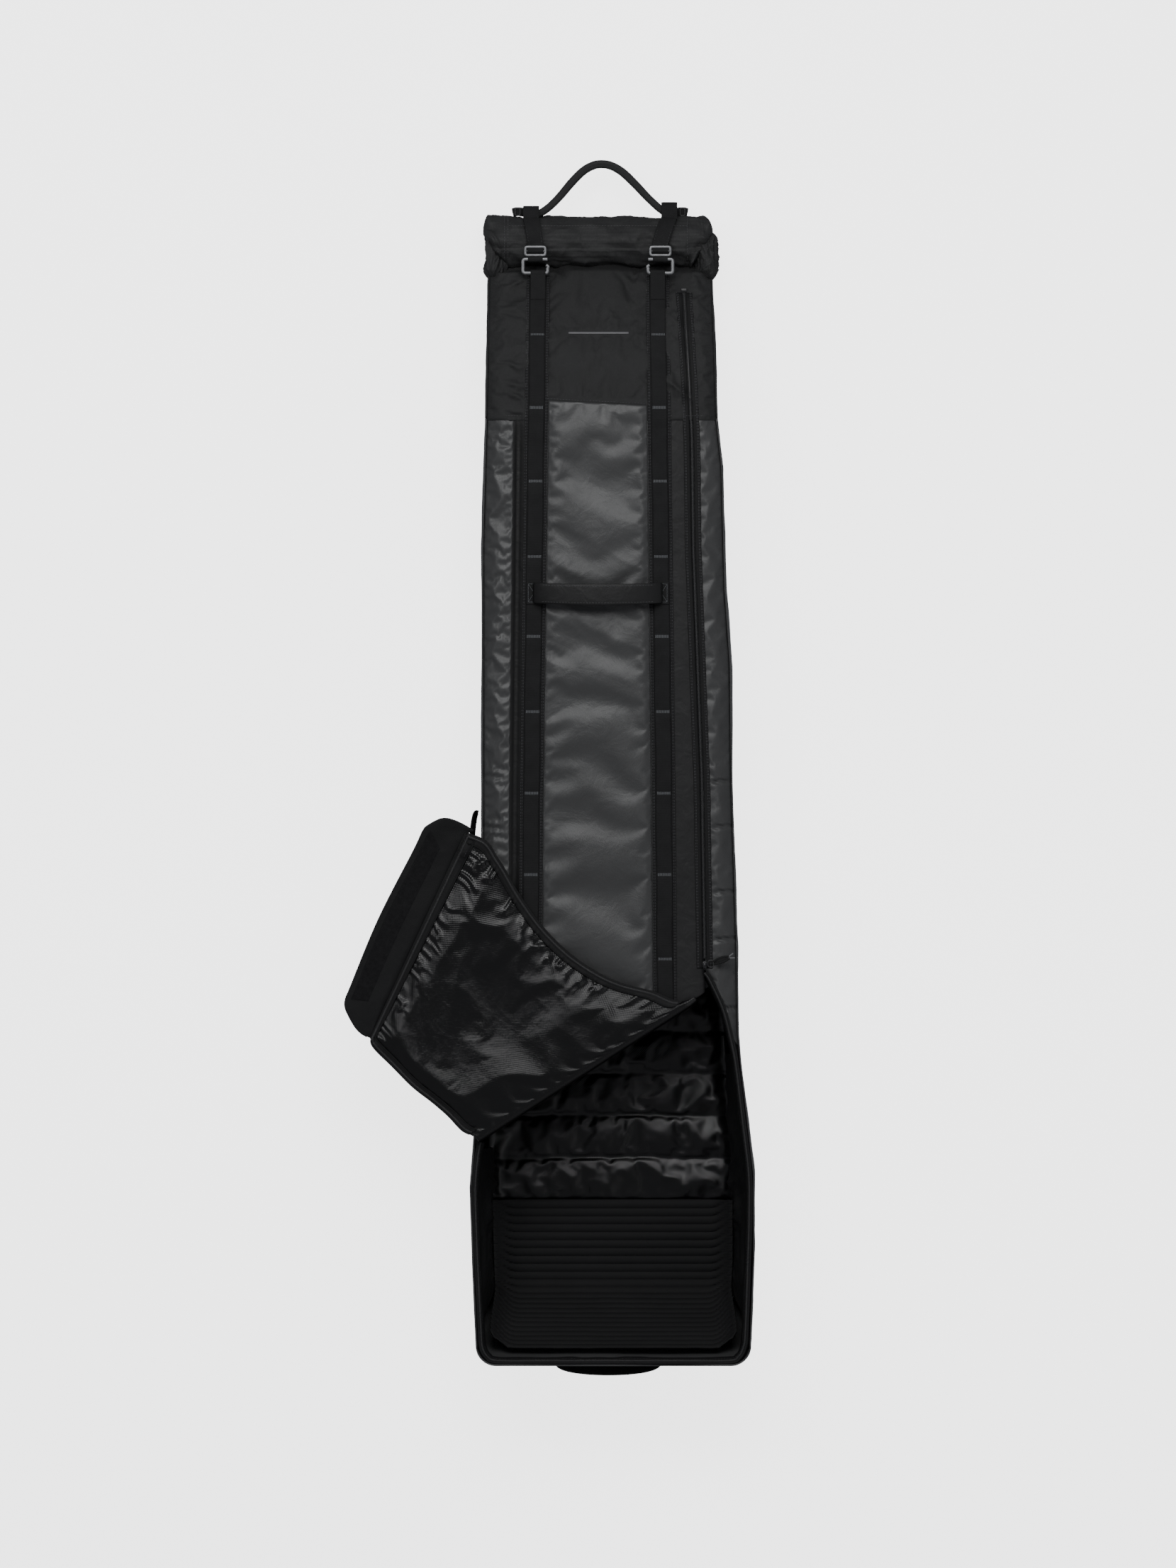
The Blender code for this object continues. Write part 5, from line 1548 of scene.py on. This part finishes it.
def build_cover_strip():
    """Loose strip beyond the flap's end zip, with its hook-and-loop band."""
    a, b = mesh_of(200, 34)
    inner = (STRIP_FROM + STRIP_OUT * 0.0008)[None, None] + (STRIP_TO - STRIP_FROM) * a[..., None]
    outer = edge_at(STRIP_EDGE, a)
    spots = inner + (outer - inner) * b[..., None]
    x, y = spots[..., 0], spots[..., 1]
    rise = 0.0030 + 0.0016 * rumple(x * 14, y * 14, 111) + 0.0012 * creases(x * 16, y * 10, 113)
    rise = rise * smooth(b / 0.15) + 0.0045 * bump(b - 1, 0.3) * (0.5 + 0.5 * np.sin(a * 9))
    grid = np.concatenate([spots, (0.2036 + rise)[..., None]], -1)
    rows = [skin(grid, 0.0020)]
    rows.append(sweep(resample(grid[::4, -1], 260) + [0, 0, -0.0010], (0, 0, 1),
                      oval(0.0042, 0.0034, 10, 0.8), slot=1))
    rows.append(stitches(grid[4:-4, -3] + [0, 0, 0.0004], (0, 0, 1), slot=2))
    strip = piece("cover_strip_skin", rows, [finish_of("padding"), finish_of("webbing"),
                                             finish_of("dark_thread")], None)
    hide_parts("cover_strip")
    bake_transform(strip)
    band = grid[34:-34, 15:30] + [0, 0, 0.0012]
    rows = [skin(band, 0.0010)]
    for edge in (band[:, 1], band[:, -2]):
        rows.append(stitches(edge + [0, 0, 0.0004], (0, 0, 1)))
    piece("hook_and_loop", rows, [finish_of("loop"), finish_of("dark_thread")], "cover",
          ["hook_loop_band"])


def merge_close(obj):
    """Join points that lie on each other, so that a piece is one closed skin."""
    mesh = bmesh.new()
    mesh.from_mesh(obj.data)
    bmesh.ops.remove_doubles(mesh, verts=mesh.verts, dist=0.000001)
    mesh.to_mesh(obj.data)
    mesh.free()


# ---------------------------------------------------------------- stage

def area_light(name, place, aim, size, power):
    """Square soft light turned towards a point."""
    data = bpy.data.lights.new(name, "AREA")
    data.size = size
    data.energy = power
    obj = bpy.data.objects.new(name, data)
    bpy.context.scene.collection.objects.link(obj)
    way = np.array(aim, float) - np.array(place, float)
    obj.location = place
    pitch = math.atan2(math.hypot(way[0], way[1]), -way[2])
    obj.rotation_euler = (pitch, 0.0, math.atan2(way[0], -way[1]) + math.pi)


def build_stage(look):
    """Pale floor, soft lights and a camera straight above."""
    half, level = 9.0, -0.0008
    corners = np.array([[-half, -half, level], [half, -half, level], [half, half, level],
                        [-half, half, level]])
    sheet = part(corners, np.array([[0, 1, 2, 3]]), np.zeros((4, 2)))
    floor = piece("floor", sheet, [finish_of("floor")], None)
    floor.visible_diffuse = False
    floor.visible_glossy = False
    area_light("overhead", (0.2, 2.2, 3.6), (0.0, 0.4, 0.0), 2.2, look.overhead)
    area_light("far_side", (-1.7, 1.7, 3.3), (0.0, -0.2, 0.1), 1.1, look.side)
    area_light("near_side", (2.8, -1.8, 2.4), (0.0, -0.2, 0.1), 1.8, look.side * 0.35)
    world = bpy.data.worlds.new("soft_room")
    world.use_nodes = True
    background = world.node_tree.nodes["Background"]
    background.inputs["Color"].default_value = (0.93, 0.95, 1.0, 1.0)
    background.inputs["Strength"].default_value = look.room
    bpy.context.scene.world = world
    data = bpy.data.cameras.new("camera")
    data.sensor_width = 36.0
    data.lens = data.sensor_width * CAMERA_DISTANCE / VIEW_HEIGHT
    data.clip_end = 1.5 * CAMERA_DISTANCE
    camera = bpy.data.objects.new("camera", data)
    camera.location = (-0.0266, 0.0106, FRONT_TOP + CAMERA_DISTANCE)
    bpy.context.scene.collection.objects.link(camera)
    bpy.context.scene.camera = camera


# ---------------------------------------------------------------- settings

def shade(name, description, value):
    """Linear colour property."""
    return FloatVectorProperty(name=name, description=description, default=value, size=3,
                               subtype="COLOR", min=0.0, max=1.0)


class LookSettings(bpy.types.PropertyGroup):
    """Colours of the finishes and strengths of the lights."""

    textile: shade("Woven textile", "Colour of the woven textile", (0.0190, 0.0192, 0.0195))
    coated: shade("Coated fabric", "Colour of the coated fabric", (0.0400, 0.0405, 0.0410))
    dark: shade("Dark coated fabric", "Colour of the black coated fabric",
                (0.0085, 0.0085, 0.0088))
    lining: shade("Lining", "Colour of the glossy lining", (0.0022, 0.0022, 0.0024))
    webbing: shade("Webbing", "Colour of the webbing", (0.0125, 0.0126, 0.0130))
    padding: shade("Padding", "Colour of the padded fabric", (0.0080, 0.0081, 0.0085))
    zip_tape: shade("Zip tape", "Colour of the zip tapes", (0.0070, 0.0071, 0.0074))
    coil: shade("Coil", "Colour of the zip coil", (0.0200, 0.0200, 0.0208))
    metal: shade("Metal", "Colour of the buckles and rings", (0.150, 0.152, 0.157))
    loop_band: shade("Loop band", "Colour of the hook-and-loop band", (0.0120, 0.0120, 0.0126))
    bar_tack: shade("Bar tacks", "Colour of the bar tacks", (0.120, 0.125, 0.132))
    seam: shade("Seams", "Colour of the other stitches", (0.075, 0.075, 0.079))
    floor: shade("Floor", "Colour of the floor", (0.830, 0.835, 0.840))
    overhead: FloatProperty(name="Overhead light", description="Power of the overhead light",
                            default=85.0, min=0.0, unit="POWER")
    side: FloatProperty(name="Side lights", description="Power of the side lights", default=26.0,
                        min=0.0, unit="POWER")
    room: FloatProperty(name="Room light", description="Strength of the light all around",
                        default=0.30, min=0.0)
    glow: FloatProperty(name="Floor light", description="Light given off by the lit floor",
                        default=2.9, min=0.0)


# ---------------------------------------------------------------- operators

class SKIBAG_OT_finishes(bpy.types.Operator):
    """Make the procedural materials"""

    bl_idname = "skibag.finishes"
    bl_label = "Finishes"

    def execute(self, context):
        look = context.scene.ski_bag_look
        FINISHES.update({
            "textile": woven_textile(look), "coated": coated_fabric(look),
            "dark": dark_coated_painted_shade(look),
            "lining": glossy_lining(look), "webbing": ribbed_webbing(look),
            "padding": matt_padding(look), "zip_tape": zip_fabric(look),
            "coil": moulded_coil(look), "metal": gunmetal(look), "loop": loop_fabric(look),
            "light_thread": thread("bar_tack_thread", look.bar_tack),
            "dark_thread": thread("seam_thread", look.seam),
            "black_metal": Finish("blackened_metal", (0.045, 0.045, 0.047), 0.36, 0.8).material,
            "print": Finish("printed_bar", (0.11, 0.11, 0.115), 0.5).material,
            "floor": Finish("plain_floor", look.floor, 0.9, Specular_IOR_Level=0.0,
                            Emission_Strength=look.glow,
                            Emission_Color=(1.0, 1.0, 1.0, 1.0)).material})
        return {"FINISHED"}


class BuildStep:
    """Shared run of the operators that build pieces."""

    builders = ()

    def execute(self, context):
        for build in self.builders:
            build()
        return {"FINISHED"}


class SKIBAG_OT_walls(BuildStep, bpy.types.Operator):
    """Build the side walls, the end wall and the back"""

    bl_idname = "skibag.walls"
    bl_label = "Walls and back"
    builders = (build_walls, build_back)


class SKIBAG_OT_front(BuildStep, bpy.types.Operator):
    """Build the front skins and the rolled top edge"""

    bl_idname = "skibag.front"
    bl_label = "Front and roll"
    builders = (build_front_skins, build_upper_front, build_centre_panel, build_roll)


class SKIBAG_OT_webbing(BuildStep, bpy.types.Operator):
    """Build the webbing chains, the top straps with their buckles, and the handles"""

    bl_idname = "skibag.webbing"
    bl_label = "Webbing and handles"
    builders = (build_webbing, build_top_straps, build_handles)


class SKIBAG_OT_zip(BuildStep, bpy.types.Operator):
    """Build the long zip, its slider and its pull"""

    bl_idname = "skibag.zip"
    bl_label = "Long zip"
    builders = (build_zip,)


class SKIBAG_OT_inside(BuildStep, bpy.types.Operator):
    """Build the linings, the ribbed pad and the open rim"""

    bl_idname = "skibag.inside"
    bl_label = "Inside"
    builders = (build_lining, build_pad, build_rim)


class SKIBAG_OT_flap(BuildStep, bpy.types.Operator):
    """Build the folded flap with its zip halves and cover strip"""

    bl_idname = "skibag.flap"
    bl_label = "Folded flap"
    builders = (build_flap_sheet, build_flap_zips, build_cover_strip)


class SKIBAG_OT_stage(bpy.types.Operator):
    """Build the floor, lights and camera"""

    bl_idname = "skibag.stage"
    bl_label = "Stage"

    def execute(self, context):
        build_stage(context.scene.ski_bag_look)
        return {"FINISHED"}


class SKIBAG_PT_panel(bpy.types.Panel):
    """Sidebar panel with the settings and the build steps in order"""

    bl_label = "Ski bag"
    bl_idname = "SKIBAG_PT_panel"
    bl_space_type = "VIEW_3D"
    bl_region_type = "UI"
    bl_category = "Ski bag"

    def draw(self, context):
        look = context.scene.ski_bag_look
        for name in LookSettings.__annotations__:
            self.layout.prop(look, name)
        for operator in OPERATORS:
            self.layout.operator(operator.bl_idname)


OPERATORS = (SKIBAG_OT_finishes, SKIBAG_OT_walls, SKIBAG_OT_front, SKIBAG_OT_webbing,
             SKIBAG_OT_zip, SKIBAG_OT_inside, SKIBAG_OT_flap, SKIBAG_OT_stage)
CLASSES = (LookSettings, *OPERATORS, SKIBAG_PT_panel)


def register():
    """Register every class and hang the settings on the scene."""
    for cls in CLASSES:
        bpy.utils.register_class(cls)
    bpy.types.Scene.ski_bag_look = PointerProperty(type=LookSettings)


def unregister():
    """Undo register."""
    del bpy.types.Scene.ski_bag_look
    for cls in reversed(CLASSES):
        bpy.utils.unregister_class(cls)


def main():
    """Run the operators in order."""
    register()
    bpy.ops.skibag.finishes()
    bpy.ops.skibag.walls()
    bpy.ops.skibag.front()
    bpy.ops.skibag.webbing()
    bpy.ops.skibag.zip()
    bpy.ops.skibag.inside()
    bpy.ops.skibag.flap()
    bpy.ops.skibag.stage()


if __name__ == "__main__":
    main()
